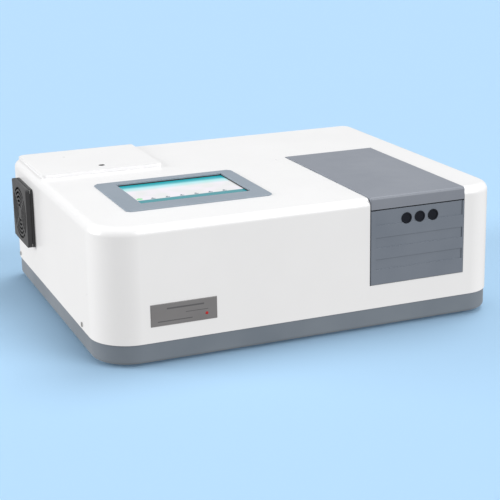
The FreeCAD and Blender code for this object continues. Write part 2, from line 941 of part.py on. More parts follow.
def inlet_pins():
    back = depth + inlet_flange - socket_depth
    z = inlet_z - socket_drop
    pins = []
    for dx, dz in ((-inlet_pin_spread, -2.0), (inlet_pin_spread, -2.0), (0.0, 2.5)):
        half_w = inlet_pin_width / 2
        half_h = inlet_pin_height / 2
        pin = block(
            inlet_x + dx - half_w, inlet_x + dx + half_w, back, back + inlet_pin_length,
            z + dz - half_h, z + dz + half_h,
        )
        pins.append(pin)
    return Part.makeCompound(pins)


def fuse_drawer():
    face = depth + inlet_flange
    body = centred_slot(inlet_z + drawer_lift, drawer_width, drawer_height, face - drawer_length, face)
    grip = centred_slot(inlet_z + drawer_lift, drawer_width - 6, 3.0, face, face + drawer_handle)
    hollow = centred_slot(
        inlet_z + drawer_lift + 1.5, drawer_width - 4, drawer_height, face - drawer_length + 2, face - 3,
    )
    return body.cut(hollow).fuse(grip).removeSplitter()


def switch_rocker():
    rocker_z, pivot_y = rocker_centre()
    z0 = rocker_z - rocker_height / 2
    z1 = rocker_z + rocker_height / 2
    crown = depth + inlet_flange + 1.6
    points = [
        FreeCAD.Vector(inlet_x - rocker_width / 2, crown, z0),
        FreeCAD.Vector(inlet_x - rocker_width / 2, crown - 1.6, rocker_z),
        FreeCAD.Vector(inlet_x - rocker_width / 2, crown, z1),
        FreeCAD.Vector(inlet_x - rocker_width / 2, crown - 4.5, z1),
        FreeCAD.Vector(inlet_x - rocker_width / 2, crown - rocker_depth, rocker_z),
        FreeCAD.Vector(inlet_x - rocker_width / 2, crown - 4.5, z0),
    ]
    outline = Part.makePolygon(points + [points[0]])
    body = Part.Face(outline).extrude(FreeCAD.Vector(rocker_width, 0, 0))
    reach = rocker_width / 2 + rocker_gap + 2.5
    pin = rod(inlet_x - reach, pivot_y, rocker_z, rocker_pin_radius, 2 * reach, axis_x)
    rocker = body.fuse(pin).removeSplitter()
    rocker.rotate(FreeCAD.Vector(inlet_x, pivot_y, rocker_z), axis_x, -rocker_tilt)
    return rocker


def usb_port():
    half_w = usb_width / 2
    half_h = usb_height / 2
    y1 = depth + usb_stand
    shell = block(usb_x - half_w, usb_x + half_w, y1 - usb_length, y1, usb_z - half_h, usb_z + half_h)
    mouth = block(
        usb_x - half_w + usb_wall, usb_x + half_w - usb_wall, y1 - usb_length + 3, y1 + 1,
        usb_z - half_h + usb_wall, usb_z + half_h - usb_wall,
    )
    tongue = block(
        usb_x - half_w + 3.2, usb_x + half_w - 3.2, y1 - usb_length + 2, y1 - 1,
        usb_z - usb_tongue / 2, usb_z + usb_tongue / 2,
    )
    return shell.cut(mouth).fuse(tongue).removeSplitter()


def optical_bench():
    plate = rounded_block(
        bench_left, width - bench_right, bench_front, bench_front + bench_length,
        bench_bottom, bench_top, 8.0,
    )
    wing = rounded_block(
        bench_left, bench_left + bench_wing_width, bench_front, depth - bench_wing_back,
        bench_bottom, bench_top, 8.0,
    )
    return plate.fuse(wing).removeSplitter()


def bench_isolators():
    back = bench_front + bench_length - 20
    places = (
        (bench_left + 20, bench_front + 20),
        (width - bench_right - 20, bench_front + 20),
        (width - bench_right - 20, back),
        (bench_left + 20, depth - bench_wing_back - 20),
        (bench_left + bench_wing_width - 20, depth - bench_wing_back - 20),
    )
    isolators = []
    for x, y in places:
        isolators.append(rod(x, y, tray_floor, isolator_radius, isolator_height, axis_z))
    return Part.makeCompound(isolators)


def sample_chamber():
    rail_top = height - chamber_rail_drop
    back_top = hinge_z - barrel_radius - chamber_back_clearance
    rail_end = hinge_y - barrel_radius - chamber_rail_clearance
    under = chamber_floor_top - chamber_floor
    x0 = chamber_x0
    x1 = chamber_x1
    left = block(x0, x0 + chamber_wall, chamber_front, chamber_back, bench_top, rail_top)
    right = block(x1 - chamber_wall, x1, chamber_front, chamber_back, bench_top, rail_top)
    back = block(x0, x1, chamber_back - chamber_wall, chamber_back, bench_top, back_top)
    floor = block(x0, x1, chamber_front, chamber_back, under, chamber_floor_top)
    sill = block(
        x0, x1, chamber_front, chamber_front + sill_depth,
        under, chamber_floor_top + sill_height,
    )
    shell = left.fuse([right, back, floor, sill])
    cuts = [block(x0 - 1, x1 + 1, rail_end, chamber_back + 1, back_top, rail_top + 1)]
    for y in (sample_beam_y, reference_beam_y):
        cuts.append(rod(x0 - 1, y, beam_height, beam_hole_radius, x1 - x0 + 2, axis_x))
    peg_radius = panel_peg_radius + plug_gap
    for x in panel_peg_places():
        cuts.append(rod(x, chamber_front - 1, peg_height, peg_radius, panel_peg_length + 2, axis_y))
    return shell.cut(cuts).removeSplitter()


def beam_windows():
    windows = []
    for y in (sample_beam_y, reference_beam_y):
        for x in (chamber_x0 + 0.5, chamber_x1 - 0.5 - beam_window_thickness):
            windows.append(rod(x, y, beam_height, beam_hole_radius, beam_window_thickness, axis_x))
    return Part.makeCompound(windows)


def dowel_places(y):
    return [
        (chamber_middle - dowel_offset, y - dowel_offset),
        (chamber_middle + dowel_offset, y + dowel_offset),
    ]


def holder_base():
    half = holder_base_width / 2
    base = rounded_block(
        chamber_middle - half, chamber_middle + half,
        sample_beam_y - holder_base_margin, reference_beam_y + holder_base_margin,
        chamber_floor_top, chamber_floor_top + holder_base_height, 4.0,
    )
    dowels = []
    reach = holder_base_height - 1 + dowel_length
    for beam in (sample_beam_y, reference_beam_y):
        for x, y in dowel_places(beam):
            dowels.append(rod(x, y, chamber_floor_top + 1, dowel_radius, reach, axis_z))
    return base.fuse(dowels).removeSplitter()


def cell_holder(y):
    bottom = chamber_floor_top + holder_base_height
    holder = rounded_block(
        chamber_middle - holder_width / 2, chamber_middle + holder_width / 2,
        y - holder_length / 2, y + holder_length / 2, bottom, bottom + holder_height, 3.0,
    )
    half = cell_size / 2
    cuts = [
        block(
            chamber_middle - half, chamber_middle + half, y - half, y + half,
            bottom + cell_floor, bottom + holder_height + 1,
        ),
        rod(chamber_middle - holder_width, y, beam_height, holder_beam_radius, 2 * holder_width, axis_x),
    ]
    for x, dowel_y in dowel_places(y):
        cuts.append(rod(x, dowel_y, bottom - 1, dowel_radius + dowel_gap, dowel_length + 2, axis_z))
    return holder.cut(cuts)


def monochromator_case():
    case = block(case_x0, case_x1, case_front, case_back, bench_top, case_top)
    main = block(
        case_x0 + case_wall, split_x - case_wall / 2, case_front + case_wall, case_back - case_wall,
        bench_top + case_floor, case_top + 1,
    )
    side = block(
        split_x + case_wall / 2, case_x1 - case_wall, case_front + case_wall, case_back - case_wall,
        bench_top + case_floor, case_top + 1,
    )
    holes = [
        rod(entrance, case_back - case_wall - 1, beam_height, slit_radius, case_wall + 2, axis_y),
        rod(split_x - case_wall, reference_beam_y, beam_height, slit_radius, 2 * case_wall, axis_x),
        rod(case_x1 - case_wall - 1, reference_beam_y, beam_height, slit_radius, case_wall + 2, axis_x),
        rod(case_x1 - case_wall - 1, sample_beam_y, beam_height, slit_radius, case_wall + 2, axis_x),
        rod(turret_x, turret_y, bench_top + 2, turret_shaft_radius + shaft_fit, case_floor, axis_z),
    ]
    return case.cut([main, side] + holes)


def monochromator_cover():
    cover = block(case_x0, case_x1, case_front, case_back, case_top, case_top + cover_plate)
    return cover.makeChamfer(1.5, edges_at_height(cover, case_top + cover_plate))


def slit_plates():
    half = slit_size / 2
    gap = slit_gap_width / 2
    low = beam_height - slit_radius + 1
    high = beam_height + slit_radius - 1
    inner_back = case_back - case_wall
    entry = block(
        entrance - half, entrance + half, inner_back - slit_thickness, inner_back,
        beam_height - half, beam_height + half,
    )
    entry = entry.cut(block(entrance - gap, entrance + gap, inner_back - 5, inner_back + 5, low, high))
    wall_face = split_x + case_wall / 2
    y = reference_beam_y
    leave = block(
        wall_face, wall_face + slit_thickness, y - half, y + half,
        beam_height - half, beam_height + half,
    )
    leave = leave.cut(block(wall_face - 5, wall_face + 5, y - gap, y + gap, low, high))
    return Part.makeCompound([entry, leave])


def concave_mirror(x, turn):
    half_w = mirror_width / 2
    y0 = case_front + mirror_y
    bottom = bench_top + case_floor
    top = beam_height + mirror_height / 2
    stand = block(x - half_w, x + half_w, y0 - mirror_thickness, y0, bottom, top)
    centre = FreeCAD.Vector(x, y0 + mirror_curvature - mirror_sag, beam_height)
    mirror = stand.cut(Part.makeSphere(mirror_curvature, centre))
    mirror.rotate(FreeCAD.Vector(x, y0 - mirror_thickness / 2, beam_height), axis_z, turn)
    mirror.translate(FreeCAD.Vector(0, mirror_thickness / 2, 0))
    return mirror


def monochromator_mirrors():
    return Part.makeCompound([concave_mirror(entrance, -12), concave_mirror(case_x0 + focus_x, 10)])


def tilted_mirror(x, y, turn):
    half = fold_size / 2
    half_t = fold_thickness / 2
    bottom = bench_top + case_floor
    mirror = block(x - half, x + half, y - half_t, y + half_t, bottom, beam_height + half)
    mirror.rotate(FreeCAD.Vector(x, y, beam_height), axis_z, turn)
    return mirror


def beam_mirrors():
    fold = tilted_mirror(split_x - fold_from_split, reference_beam_y, 45)
    second = tilted_mirror(split_x + chopper_x, sample_beam_y, 45)
    return Part.makeCompound([fold, second])


def grating_turret():
    floor = bench_top + case_floor
    reach = pulley_bottom - bench_top
    shaft = rod(turret_x, turret_y, bench_top + 2.5, turret_shaft_radius, reach, axis_z)
    pulley = rod(turret_x, turret_y, pulley_bottom, turret_pulley_radius, pulley_height, axis_z)
    plate_z = pulley_bottom + pulley_height
    plate = rod(turret_x, turret_y, plate_z, turret_radius, turret_plate, axis_z)
    collar = rod(turret_x, turret_y, floor + 0.5, turret_shaft_radius + 3, 5, axis_z)
    return shaft.fuse([pulley, plate, collar]).removeSplitter()


def grating():
    half = grating_size / 2
    bottom = pulley_bottom + pulley_height + turret_plate
    slab = block(
        turret_x - half, turret_x + half, turret_y - grating_thickness, turret_y,
        bottom, bottom + grating_size,
    )
    return slab.makeChamfer(0.8, upright_edges(slab))


def grating_motor():
    half = motor_size / 2
    floor = bench_top + case_floor
    top = floor + motor_height
    body = block(motor_x - half, motor_x + half, motor_y - half, motor_y + half, floor, top)
    body = body.makeChamfer(3.0, upright_edges(body))
    return body.cut(rod(motor_x, motor_y, top - 8, motor_shaft_radius + shaft_fit, 9, axis_z))


def motor_pulley():
    start = bench_top + case_floor + motor_height - 7
    shaft = rod(motor_x, motor_y, start, motor_shaft_radius, pulley_bottom - start, axis_z)
    pulley = rod(motor_x, motor_y, pulley_bottom, motor_pulley_radius, pulley_height, axis_z)
    return shaft.fuse(pulley).removeSplitter()


def belt_loop(grow, z0, z1):
    """Solid inside a belt that runs round both pulleys, its outline grown by grow."""
    big = turret_pulley_radius + grow
    small = motor_pulley_radius + grow
    reach = math.hypot(motor_offset_x, motor_offset_y)
    heading = math.atan2(motor_offset_y, motor_offset_x)
    lean = math.acos((big - small) / reach)
    corners = []
    for turn, radius, x, y in (
        (heading + lean, big, turret_x, turret_y),
        (heading + lean, small, motor_x, motor_y),
        (heading - lean, small, motor_x, motor_y),
        (heading - lean, big, turret_x, turret_y),
    ):
        corners.append(FreeCAD.Vector(x + radius * math.cos(turn), y + radius * math.sin(turn), z0))
    between = Part.Face(Part.makePolygon(corners + [corners[0]]))
    between = between.extrude(FreeCAD.Vector(0, 0, z1 - z0))
    big_end = rod(turret_x, turret_y, z0, big, z1 - z0, axis_z)
    small_end = rod(motor_x, motor_y, z0, small, z1 - z0, axis_z)
    return between.fuse([big_end, small_end]).removeSplitter()


def drive_belt():
    z0 = pulley_bottom + (pulley_height - belt_height) / 2
    outer = belt_loop(belt_gap + belt_thickness, z0, z0 + belt_height)
    return outer.cut(belt_loop(belt_gap, z0 - 1, z0 + belt_height + 1))


def wheel_centre():
    return entrance + wheel_offset, case_back - wheel_from_back


def filter_wheel():
    x, y = wheel_centre()
    wheel = rod(x, y, beam_height, wheel_radius, wheel_thickness, axis_y)
    holes = []
    for number in range(wheel_hole_count):
        turn = math.radians(180 + number * 360.0 / wheel_hole_count)
        hole_x = x + wheel_offset * math.cos(turn)
        hole_z = beam_height + wheel_offset * math.sin(turn)
        holes.append(rod(hole_x, y - 1, hole_z, wheel_hole_radius, wheel_thickness + 2, axis_y))
    shaft = rod(x, y - 6, beam_height, motor_shaft_radius, 6 + wheel_thickness, axis_y)
    return wheel.cut(holes).fuse(shaft).removeSplitter()


def filter_wheel_motor():
    x, y = wheel_centre()
    front = y - 1 - wheel_motor_length
    body = rod(x, front, beam_height, wheel_motor_radius, wheel_motor_length, axis_y)
    stand = block(
        x - 4, x + 4, front, front + wheel_motor_length,
        bench_top + case_floor, beam_height - wheel_motor_radius + 2,
    )
    bore = rod(x, y - 7, beam_height, motor_shaft_radius + shaft_fit, 8, axis_y)
    return body.fuse(stand).cut(bore).removeSplitter()


def chopper_frame():
    direction = FreeCAD.Vector(1, 1, 0)
    direction.normalize()
    x = split_x + chopper_x
    y = reference_beam_y
    z = beam_height - chopper_offset
    return FreeCAD.Vector(x, y, z), direction


def chopper_wheel():
    centre, direction = chopper_frame()
    disc = Part.makeCylinder(chopper_radius, chopper_thickness, centre, direction)
    reach = chopper_radius + 1
    upper = Part.makeCylinder(reach, chopper_thickness + 2, centre - direction, direction, 90)
    lower = upper.copy()
    lower.rotate(centre, direction, 180)
    keep = Part.makeCylinder(8.0, chopper_thickness, centre, direction)
    shaft = Part.makeCylinder(motor_shaft_radius, 7.0 + chopper_thickness, centre, direction)
    return disc.cut([upper, lower]).fuse([keep, shaft]).removeSplitter()


def chopper_motor():
    centre, direction = chopper_frame()
    start = centre + direction * (chopper_thickness + 1)
    body = Part.makeCylinder(chopper_motor_radius, chopper_motor_length, start, direction)
    middle = start + direction * (chopper_motor_length / 2)
    floor = bench_top + case_floor
    stand = block(middle.x - 5, middle.x + 5, middle.y - 5, middle.y + 5, floor, middle.z - 2)
    bore = Part.makeCylinder(motor_shaft_radius + shaft_fit, 9.0, start - direction, direction)
    return body.fuse(stand).cut(bore).removeSplitter()


def lamp_house_box():
    x0 = case_x0
    y0 = lamp_house_front
    outer = block(x0, x0 + lamp_house_width, y0, y0 + lamp_house_length, bench_top, lamp_house_top)
    inner = block(
        x0 + lamp_house_wall, x0 + lamp_house_width - lamp_house_wall,
        y0 + lamp_house_wall, y0 + lamp_house_length - lamp_house_wall,
        bench_top + lamp_house_wall, lamp_house_top + 1,
    )
    cuts = [
        inner,
        rod(entrance, y0 - 1, beam_height, 10.0, lamp_house_wall + 2, axis_y),
        rod(x0 - 1, fan_y, fan_height - 20, 26.0, lamp_house_wall + 2, axis_x),
    ]
    return outer.cut(cuts)


def lamp_places():
    deuterium = (entrance + deuterium_offset, lamp_row_y)
    tungsten = (entrance - tungsten_offset, lamp_row_y)
    return deuterium, tungsten


def lamp_sockets():
    floor = bench_top + lamp_house_wall
    half = socket_block / 2
    sockets = []
    for x, y in lamp_places():
        sockets.append(block(x - half, x + half, y - half, y + half, floor, floor + socket_block_height))
    return Part.makeCompound(sockets)


def lamp(place, radius):
    x, y = place
    seat = bench_top + lamp_house_wall + socket_block_height
    base = rod(x, y, seat, radius * 0.8, lamp_pin_base, axis_z)
    glass = rod(x, y, seat + lamp_pin_base, radius, lamp_glass_top - seat - lamp_pin_base, axis_z)
    glass = glass.makeFillet(radius * 0.6, edges_at_height(glass, lamp_glass_top))
    return base.fuse(glass).removeSplitter()


def lamp_mirror():
    motor_top = bench_top + lamp_house_wall + lamp_motor_height
    shaft = rod(entrance, lamp_row_y, motor_top - 8, lamp_shaft_radius, 18, axis_z)
    plate_z = motor_top + 4
    half = lamp_mirror_size / 2
    half_t = lamp_mirror_thickness / 2
    plate = block(
        entrance - half, entrance + half, lamp_row_y - half_t, lamp_row_y + half_t,
        plate_z, beam_height + half,
    )
    plate.rotate(FreeCAD.Vector(entrance, lamp_row_y, 0), axis_z, 45)
    return shaft.fuse(plate).removeSplitter()


def lamp_mirror_motor():
    floor = bench_top + lamp_house_wall
    bore_start = floor + lamp_motor_height - 9
    body = rod(entrance, lamp_row_y, floor, lamp_motor_radius, lamp_motor_height, axis_z)
    bore = rod(entrance, lamp_row_y, bore_start, lamp_shaft_radius + shaft_fit, 10, axis_z)
    return body.cut(bore)


def detector_housing():
    x0 = chamber_x1 + detector_gap
    box = block(
        x0, x0 + detector_width, sample_beam_y - detector_margin, reference_beam_y + detector_margin,
        bench_top, detector_top,
    )
    box = box.makeChamfer(2.0, upright_edges(box))
    margin = detector_margin - detector_wall
    hollow = block(
        x0 + detector_wall, x0 + detector_width - 2 * detector_wall,
        sample_beam_y - margin, reference_beam_y + margin,
        bench_top + detector_wall, detector_top - detector_wall,
    )
    cuts = [hollow]
    for y in (sample_beam_y, reference_beam_y):
        cuts.append(rod(x0 - 1, y, beam_height, beam_hole_radius, detector_wall + 2, axis_x))
    return box.cut(cuts)


def detectors():
    x0 = chamber_x1 + detector_gap + detector_width - 2 * detector_wall - diode_length
    diodes = []
    for y in (sample_beam_y, reference_beam_y):
        diodes.append(rod(x0, y, beam_height, diode_radius, diode_length, axis_x))
    return Part.makeCompound(diodes)


def power_supply():
    y1 = depth - supply_back
    top = tray_floor + supply_height
    y0 = y1 - supply_length
    x1 = supply_left + supply_width
    case = block(supply_left, x1, y0, y1, tray_floor, top)
    hollow = block(
        supply_left + supply_wall, x1 - supply_wall, y0 + supply_wall, y1 - supply_wall,
        tray_floor + supply_wall, top - supply_wall,
    )
    margin = (supply_width - (supply_slot_count - 1) * supply_slot_pitch - supply_slot_width) / 2
    cuts = [hollow]
    for number in range(supply_slot_count):
        x = supply_left + margin + number * supply_slot_pitch
        cuts.append(block(x, x + supply_slot_width, y0 + 15, y1 - 15, top - supply_wall - 1, top + 1))
    return case.cut(cuts)


def main_board():
    x1 = width - board_right
    x0 = x1 - board_width
    y1 = depth - board_back
    y0 = y1 - board_length
    board = block(x0, x1, y0, y1, board_height, board_height + board_thickness)
    top = board_height + board_thickness
    margin = (board_width - (board_chip_count - 1) * board_chip_pitch - board_chip) / 2
    chip_y = y0 + 30
    chips = []
    for number in range(board_chip_count):
        x = x0 + margin + number * board_chip_pitch
        chip = block(x, x + board_chip, chip_y, chip_y + board_chip, top - 0.2, top + board_chip_height)
        chips.append(chip)
    return board.fuse(chips).removeSplitter()


def save(name, shape):
    moved = shape.copy()
    moved.translate(origin * -1)
    moved.exportStep("parts/" + name + ".step")


def build():
    deuterium, tungsten = lamp_places()
    pieces = {
        "base_tray": base_tray(),
        "rubber_feet": rubber_feet(),
        "housing": housing(),
        "housing_screws": housing_screws(),
        "screen_bezel": screen_bezel(),
        "touch_glass": touch_glass(),
        "lcd_module": lcd_module(),
        "nameplate": nameplate(),
        "guard_base_frame": guard_base_frame(),
        "fan_grille": fan_grille(),
        "dust_filter": dust_filter(),
        "fan_frame": fan_frame(),
        "fan_rotor": fan_rotor(),
        "fan_screws": fan_screws(),
        "lamp_cover": lamp_cover(),
        "lamp_cover_screw": lamp_cover_screw(),
        "sample_lid": sample_lid(),
        "lid_seal": lid_seal(),
        "hinge_brackets": hinge_brackets(),
        "hinge_pins": hinge_pins(),
        "front_panel": front_panel(),
        "power_inlet": power_inlet(),
        "inlet_pins": inlet_pins(),
        "fuse_drawer": fuse_drawer(),
        "switch_rocker": switch_rocker(),
        "usb_port": usb_port(),
        "optical_bench": optical_bench(),
        "bench_isolators": bench_isolators(),
        "sample_chamber": sample_chamber(),
        "beam_windows": beam_windows(),
        "holder_base": holder_base(),
        "sample_cell_holder": cell_holder(sample_beam_y),
        "reference_cell_holder": cell_holder(reference_beam_y),
        "monochromator_case": monochromator_case(),
        "monochromator_cover": monochromator_cover(),
        "slit_plates": slit_plates(),
        "monochromator_mirrors": monochromator_mirrors(),
        "beam_mirrors": beam_mirrors(),
        "grating_turret": grating_turret(),
        "grating": grating(),
        "grating_motor": grating_motor(),
        "motor_pulley": motor_pulley(),
        "drive_belt": drive_belt(),
        "filter_wheel": filter_wheel(),
        "filter_wheel_motor": filter_wheel_motor(),
        "chopper_wheel": chopper_wheel(),
        "chopper_motor": chopper_motor(),
        "lamp_house": lamp_house_box(),
        "lamp_sockets": lamp_sockets(),
        "deuterium_lamp": lamp(deuterium, deuterium_radius),
        "tungsten_lamp": lamp(tungsten, tungsten_radius),
        "lamp_mirror": lamp_mirror(),
        "lamp_mirror_motor": lamp_mirror_motor(),
        "detector_housing": detector_housing(),
        "detectors": detectors(),
        "power_supply": power_supply(),
        "main_board": main_board(),
    }
    for x, name in zip(plug_places(), plug_count_names):
        pieces["port_plug_" + name] = port_plug(x)
    return pieces


os.makedirs("parts", exist_ok=True)
for piece_name, piece_shape in build().items():
    save(piece_name, piece_shape)
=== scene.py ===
import bpy
import bmesh
import json
import math
from mathutils import Matrix, Vector


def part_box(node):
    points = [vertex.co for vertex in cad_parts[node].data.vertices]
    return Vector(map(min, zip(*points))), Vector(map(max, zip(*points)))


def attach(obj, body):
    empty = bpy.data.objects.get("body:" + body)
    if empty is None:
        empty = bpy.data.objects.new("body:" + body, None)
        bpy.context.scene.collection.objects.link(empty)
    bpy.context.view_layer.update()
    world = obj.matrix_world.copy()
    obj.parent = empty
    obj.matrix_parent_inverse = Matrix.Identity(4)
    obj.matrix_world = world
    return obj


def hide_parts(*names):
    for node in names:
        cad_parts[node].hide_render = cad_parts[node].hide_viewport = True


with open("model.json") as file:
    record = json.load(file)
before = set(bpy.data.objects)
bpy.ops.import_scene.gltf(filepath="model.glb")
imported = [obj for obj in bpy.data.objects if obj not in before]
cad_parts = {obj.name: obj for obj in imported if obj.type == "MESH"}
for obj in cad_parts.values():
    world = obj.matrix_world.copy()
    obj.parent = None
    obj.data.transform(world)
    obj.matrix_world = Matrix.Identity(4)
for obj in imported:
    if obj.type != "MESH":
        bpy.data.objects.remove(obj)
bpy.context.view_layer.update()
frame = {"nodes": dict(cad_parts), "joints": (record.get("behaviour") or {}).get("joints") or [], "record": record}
print("frame loaded:", len(frame["nodes"]), "nodes")


studio = {
    "cameraPlace": (-0.7229, -1.8141, 0.6555),
    "cameraTurn": 22.2,          # degrees to the right of straight ahead
    "cameraTilt": 14.64,         # degrees below the horizon
    "cameraRoll": 0.95,
    "lens": 95.06,
    "sensor": 36.0,
    "shiftDown": 0.1,
    "floorSize": 30.0,
    "floorDrop": 0.0002,         # keeps the floor clear of the feet
    "floorRough": 0.9,
    "floorShine": 0.1,
    "lampDistance": 3.0,
    "floorColour": (0.378, 0.573, 0.775),
    "skyColour": (1.0, 1.0, 1.0),
    "skyStrength": 0.48,
}


def makeCamera():
    turn = math.radians(studio["cameraTurn"])
    tilt = math.radians(studio["cameraTilt"])
    roll = math.radians(studio["cameraRoll"])
    ahead = Vector((math.sin(turn) * math.cos(tilt), math.cos(turn) * math.cos(tilt), -math.sin(tilt)))
    level = Vector((math.cos(turn), -math.sin(turn), 0.0))
    down = ahead.cross(level)
    right = level * math.cos(roll) + down * math.sin(roll)
    up = level * math.sin(roll) - down * math.cos(roll)
    data = bpy.data.cameras.new("camera")
    data.sensor_width = studio["sensor"]
    data.lens = studio["lens"]
    data.shift_y = -studio["shiftDown"]
    camera = bpy.data.objects.new("camera", data)
    bpy.context.scene.collection.objects.link(camera)
    axes = Matrix((right, up, -ahead)).transposed().to_4x4()
    camera.matrix_world = Matrix.Translation(studio["cameraPlace"]) @ axes
    bpy.context.scene.camera = camera


softLights = {
    "leftSide": {"from": (-0.90, 0.36, 0.20), "strength": 2.95, "spread": 40.0},
    "rightFront": {"from": (0.52, -0.72, 0.45), "strength": 2.0, "spread": 45.0},
    "overhead": {"from": (0.42, 0.20, 0.88), "strength": 1.25, "spread": 36.0},
}


def makeLights():
    for name, light in softLights.items():
        data = bpy.data.lights.new(name, "SUN")
        data.energy = light["strength"]
        data.angle = math.radians(light["spread"])
        lamp = bpy.data.objects.new(name, data)
        bpy.context.scene.collection.objects.link(lamp)
        facing = (-Vector(light["from"])).to_track_quat("-Z", "Y")
        place = Matrix.Translation(Vector(light["from"]) * studio["lampDistance"])
        lamp.matrix_world = place @ facing.to_matrix().to_4x4()
    world = bpy.data.worlds.new("studio")
    world.use_nodes = True
    sky = world.node_tree.nodes["Background"]
    sky.inputs["Color"].default_value = (*studio["skyColour"], 1.0)
    sky.inputs["Strength"].default_value = studio["skyStrength"]
    bpy.context.scene.world = world
    bpy.context.scene.view_settings.view_transform = "Standard"


finishes = {
    "housingWhite": {
        "colour": (0.84, 0.84, 0.845), "vary": 0.012, "rough": 0.30, "roughVary": 0.05,
        "grain": 1400, "depth": 0.000012, "coat": 0.25,
    },
    "trayGrey": {
        "colour": (0.165, 0.195, 0.23), "vary": 0.02, "rough": 0.42, "roughVary": 0.08,
        "grain": 1800, "depth": 0.00003, "coat": 0.0,
    },
    "lidGrey": {
        "colour": (0.162, 0.188, 0.228), "vary": 0.015, "rough": 0.46, "roughVary": 0.06,
        "grain": 2200, "depth": 0.00003, "coat": 0.0,
    },
    "lidTopGrey": {
        "colour": (0.215, 0.235, 0.275), "vary": 0.012, "rough": 0.46, "roughVary": 0.06,
        "grain": 2200, "depth": 0.00003, "coat": 0.0,
    },
    "screwBlack": {
        "colour": (0.02, 0.02, 0.02), "vary": 0.006, "rough": 0.5, "roughVary": 0.1,
        "grain": 900, "depth": 0.00001, "coat": 0.0,
    },
    "markGrey": {
        "colour": (0.10, 0.10, 0.105), "vary": 0.02, "rough": 0.5, "roughVary": 0.1,
        "grain": 1500, "depth": 0.00001, "coat": 0.0,
    },
    "iconGrey": {
        "colour": (0.16, 0.22, 0.26), "vary": 0.02, "rough": 0.4, "roughVary": 0.1,
        "grain": 1500, "depth": 0.00001, "coat": 0.0,
    },
    "iconGreen": {
        "colour": (0.30, 0.75, 0.38), "vary": 0.03, "rough": 0.4, "roughVary": 0.1,
        "grain": 1500, "depth": 0.00001, "coat": 0.0,
    },
    "plateCream": {
        "colour": (0.72, 0.71, 0.67), "vary": 0.02, "rough": 0.45, "roughVary": 0.06,
        "grain": 1500, "depth": 0.00001, "coat": 0.0,
    },
    "bezelGrey": {
        "colour": (0.24, 0.287, 0.34), "vary": 0.015, "rough": 0.45, "roughVary": 0.06,
        "grain": 2200, "depth": 0.00003, "coat": 0.0,
    },
    "guardBlack": {
        "colour": (0.035, 0.035, 0.037), "vary": 0.006, "rough": 0.42, "roughVary": 0.08,
        "grain": 1500, "depth": 0.00003, "coat": 0.0,
    },
    "plugBlack": {
        "colour": (0.008, 0.010, 0.016), "vary": 0.004, "rough": 0.6, "roughVary": 0.08,
        "grain": 1200, "depth": 0.00002, "coat": 0.0, "shine": 0.15,
    },
    "footRubber": {
        "colour": (0.02, 0.02, 0.021), "vary": 0.006, "rough": 0.75, "roughVary": 0.08,
        "grain": 1200, "depth": 0.00005, "coat": 0.0,
    },
    "filterFoam": {
        "colour": (0.03, 0.03, 0.03), "vary": 0.02, "rough": 0.95, "roughVary": 0.03,
        "grain": 900, "depth": 0.0005, "coat": 0.0,
    },
    "blackAnodised": {
        "colour": (0.018, 0.018, 0.019), "vary": 0.006, "rough": 0.48, "roughVary": 0.1,
        "grain": 1600, "depth": 0.00003, "coat": 0.0,
    },
    "castAluminium": {
        "colour": (0.58, 0.59, 0.60), "vary": 0.04, "rough": 0.42, "roughVary": 0.12,
        "grain": 900, "depth": 0.00005, "coat": 0.0, "metal": 1.0,
    },
    "zincSteel": {
        "colour": (0.56, 0.56, 0.55), "vary": 0.05, "rough": 0.33, "roughVary": 0.12,
        "grain": 700, "depth": 0.00002, "coat": 0.0, "metal": 1.0,
    },
    "brassPins": {
        "colour": (0.72, 0.55, 0.22), "vary": 0.04, "rough": 0.28, "roughVary": 0.1,
        "grain": 700, "depth": 0.00001, "coat": 0.0, "metal": 1.0,
    },
    "labelSilver": {
        "colour": (0.257, 0.251, 0.254), "vary": 0.03, "rough": 0.42, "roughVary": 0.08,
        "grain": 2500, "depth": 0.00001, "coat": 0.0, "metal": 0.6,
    },
    "mirrorCoat": {
        "colour": (0.90, 0.91, 0.92), "vary": 0.01, "rough": 0.03, "roughVary": 0.02,
        "grain": 300, "depth": 0.0, "coat": 0.0, "metal": 1.0,
    },
    "motorBlack": {
        "colour": (0.03, 0.03, 0.032), "vary": 0.01, "rough": 0.38, "roughVary": 0.1,
        "grain": 900, "depth": 0.00003, "coat": 0.0,
    },
    "lampCeramic": {
        "colour": (0.74, 0.71, 0.64), "vary": 0.03, "rough": 0.7, "roughVary": 0.1,
        "grain": 900, "depth": 0.00005, "coat": 0.0,
    },
    "boardGreen": {
        "colour": (0.015, 0.13, 0.05), "vary": 0.01, "rough": 0.35, "roughVary": 0.08,
        "grain": 900, "depth": 0.00002, "coat": 0.2,
    },
    "switchRed": {
        "colour": (0.42, 0.012, 0.012), "vary": 0.01, "rough": 0.25, "roughVary": 0.05,
        "grain": 900, "depth": 0.00001, "coat": 0.3,
    },
}


finishPattern = {
    "cloudScale": 9.0,           # slow change of tone over the piece
    "cloudDetail": 3.0,
    "cloudLow": 0.3,
    "cloudHigh": 0.7,
    "wearScale": 46.0,           # patches of handled, smoother surface
    "wearDetail": 4.0,
    "smoothest": 0.01,
    "grainDetail": 2.0,
    "grainStrength": 0.6,
    "coatRough": 0.12,
    "shine": 0.5,
}


